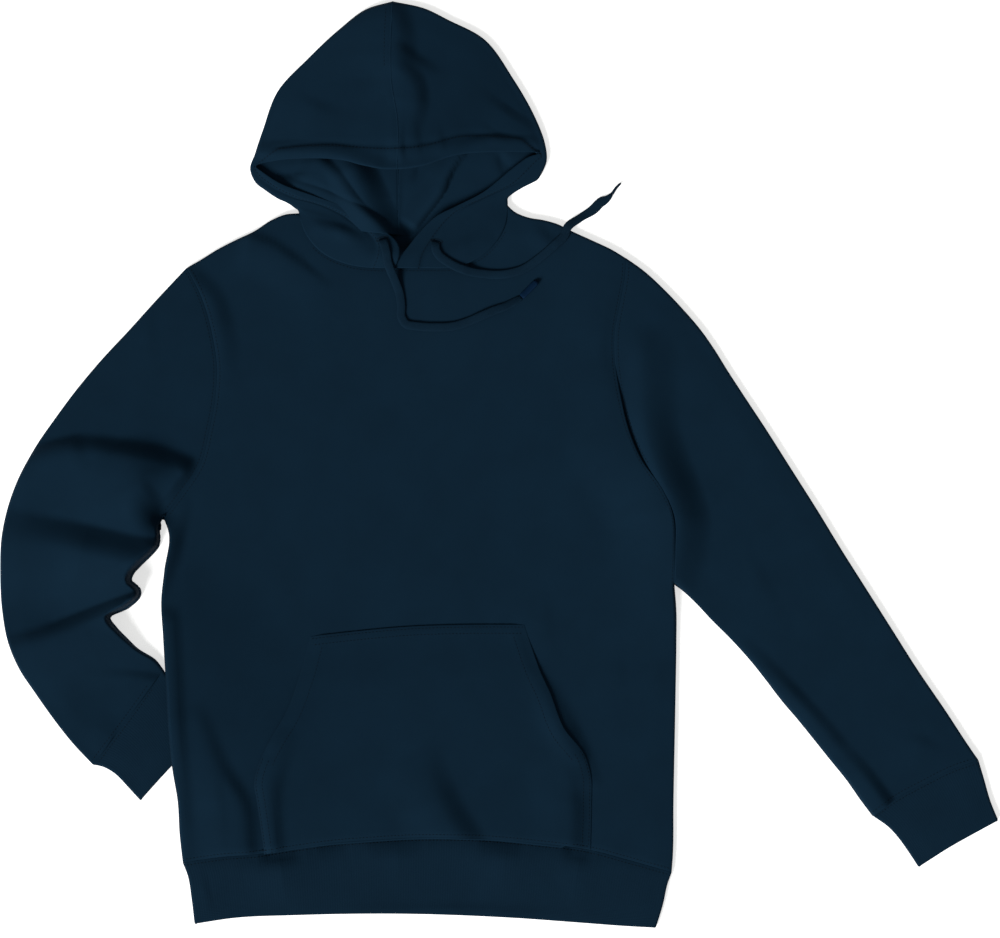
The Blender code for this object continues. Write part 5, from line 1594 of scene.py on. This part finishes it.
def sewn_rows(name, lines, pitch, length, turn=0.0):
    """Rows of stitches along the lines, as one plain mesh."""
    scene = bpy.context.scene
    guide = guide_of(name, lines)
    tree = bpy.data.node_groups.get("thread_rows") or stitch_tree()
    modifier = guide.modifiers.new("thread", "NODES")
    modifier.node_group = tree
    thread = finish_named("navy_polyester_thread", sewing_thread, tuple(scene.hoodie_finishes.navy_thread))
    width = scene.hoodie_sizes.thread
    values = {"Pitch": pitch, "Length": length, "Thread": width, "Turn": turn, "Finish": thread}
    for socket in tree.interface.items_tree:
        if socket.name in values:
            modifier[socket.identifier] = values[socket.name]
    graph = bpy.context.evaluated_depsgraph_get()
    baked = bpy.data.meshes.new_from_object(guide.evaluated_get(graph))
    guide.modifiers.remove(modifier)
    bpy.data.objects.remove(guide)
    baked.name = name
    return new_piece(name, baked)


class HOODIE_OT_sewing(Operator):
    """Sews the visible rows of stitches"""

    bl_idname = "hoodie.sewing"
    bl_label = "Sewing"

    def execute(self, context):
        sizes = context.scene.hoodie_sizes
        gap = sizes.needle_gap / MM / 2
        cloth = [made.name for made in context.scene.objects if made.name.endswith("_cloth")]
        tree = surface_tree(cloth)
        sides = (gap, -gap)
        rows = [(seam, side, *shares) for seam, *both in TWIN_ROWS for side, shares in zip(sides, both)]
        under = [row for row in rows if row[0] in UNDER_SEAMS]
        rows += [(CROWN_SEAM, 2 * gap, *CROWN_ROW), (NECK_FRONT, -gap, *NECK_ROW), *POCKET_ROWS]
        lines = [draped(tree, offset_line(*row), STITCH_DEPTH) for row in rows]
        lines += [draped(tree, offset_line(*row), STITCH_DEPTH, True) for row in under]
        for name in ("hood_left_cloth", "hood_right_cloth"):
            lines += [grid_line(name, column, CASING_DEPTH) for column in CASING_ROWS]
        sewn_rows("thread_rows", lines, sizes.stitch_pitch, sizes.stitch_length)
        slits = [draped(tree, slit_ring(route), SLIT_DEPTH) for route in (CORD_RIGHT_ROUTE, CORD_LEFT_ROUTE)]
        sewn_rows("cord_slits", slits, sizes.thread * SLIT_PITCH, SLIT_STITCH, math.pi / 2)
        return {"FINISHED"}


# Stage.


def make_floor(studio):
    """The table that the garment lies on."""
    mesh = bpy.data.meshes.new("floor")
    corners = [(x * FLOOR_HALF, y * FLOOR_HALF, FLOOR_LEVEL) for x, y in ((-1, -1), (1, -1), (1, 1), (-1, 1))]
    mesh.from_pydata(corners, [], [(0, 1, 2, 3)])
    finish = finish_named("pale_opal_acrylic", lit_table, tuple(studio.floor), studio.table_glow)
    mesh.materials.append(finish)
    placed("floor", mesh)


def make_light(studio):
    """A soft key over an evenly lit room."""
    light = bpy.data.lights.new("soft_key", "SUN")
    light.energy = studio.key_strength
    light.angle = studio.key_spread
    key = placed("soft_key", light)
    up, heading = studio.key_height, studio.key_heading
    toward = Vector((math.cos(up) * math.cos(heading), math.cos(up) * math.sin(heading), math.sin(up)))
    key.location = toward * KEY_DISTANCE
    key.rotation_mode = "QUATERNION"
    key.rotation_quaternion = toward.to_track_quat("Z", "Y")
    world = bpy.data.worlds.new("even_room")
    world.use_nodes = True
    ground = world.node_tree.nodes["Background"]
    ground.inputs["Color"].default_value = (1.0, 1.0, 1.0, 1.0)
    ground.inputs["Strength"].default_value = studio.fill
    bpy.context.scene.world = world


def make_camera(studio):
    """A long lens straight above, so that the outline has little perspective."""
    lens = bpy.data.cameras.new("long_lens")
    lens.lens = studio.lens
    lens.sensor_width = SENSOR_WIDTH
    lens.sensor_fit = "AUTO"
    lens.clip_start, lens.clip_end = 0.1, 100.0
    camera = placed("long_lens", lens)
    distance = studio.field_width * studio.lens / lens.sensor_width
    camera.location = (studio.centre_x, studio.centre_y, distance)
    bpy.context.scene.camera = camera


class HOODIE_OT_stage(Operator):
    """Makes the floor, the light and the camera"""

    bl_idname = "hoodie.stage"
    bl_label = "Studio"

    def execute(self, context):
        studio = context.scene.hoodie_studio
        make_floor(studio)
        make_light(studio)
        make_camera(studio)
        context.scene.view_settings.view_transform = "Standard"
        context.scene.view_settings.look = "None"
        return {"FINISHED"}


class HOODIE_PT_panel(Panel):
    """Lists the steps that make the hoodie"""

    bl_idname = "HOODIE_PT_panel"
    bl_label = "Pullover hoodie"
    bl_space_type = "VIEW_3D"
    bl_region_type = "UI"
    bl_category = "Hoodie"

    def draw(self, context):
        for step in STEPS:
            self.layout.operator(step.bl_idname)
        for group in (context.scene.hoodie_sizes, context.scene.hoodie_finishes, context.scene.hoodie_studio):
            box = self.layout.box()
            for name in group.__annotations__:
                box.prop(group, name)


STEPS = (
    HOODIE_OT_stage, HOODIE_OT_body, HOODIE_OT_sleeves, HOODIE_OT_ribs, HOODIE_OT_pocket, HOODIE_OT_hood,
    HOODIE_OT_cords, HOODIE_OT_sewing,
)
GROUPS = (HoodieSizes, HoodieFinishes, HoodieStudio)


def register():
    for made in (*GROUPS, *STEPS, HOODIE_PT_panel):
        bpy.utils.register_class(made)
    bpy.types.Scene.hoodie_sizes = PointerProperty(type=HoodieSizes)
    bpy.types.Scene.hoodie_finishes = PointerProperty(type=HoodieFinishes)
    bpy.types.Scene.hoodie_studio = PointerProperty(type=HoodieStudio)


def unregister():
    del bpy.types.Scene.hoodie_sizes
    del bpy.types.Scene.hoodie_finishes
    del bpy.types.Scene.hoodie_studio
    for made in reversed((*GROUPS, *STEPS, HOODIE_PT_panel)):
        bpy.utils.unregister_class(made)


def main():
    register()
    bpy.ops.hoodie.stage()
    bpy.ops.hoodie.body()
    bpy.ops.hoodie.sleeves()
    bpy.ops.hoodie.ribs()
    bpy.ops.hoodie.pocket()
    bpy.ops.hoodie.hood()
    bpy.ops.hoodie.cords()
    bpy.ops.hoodie.sewing()


if __name__ == "__main__":
    main()
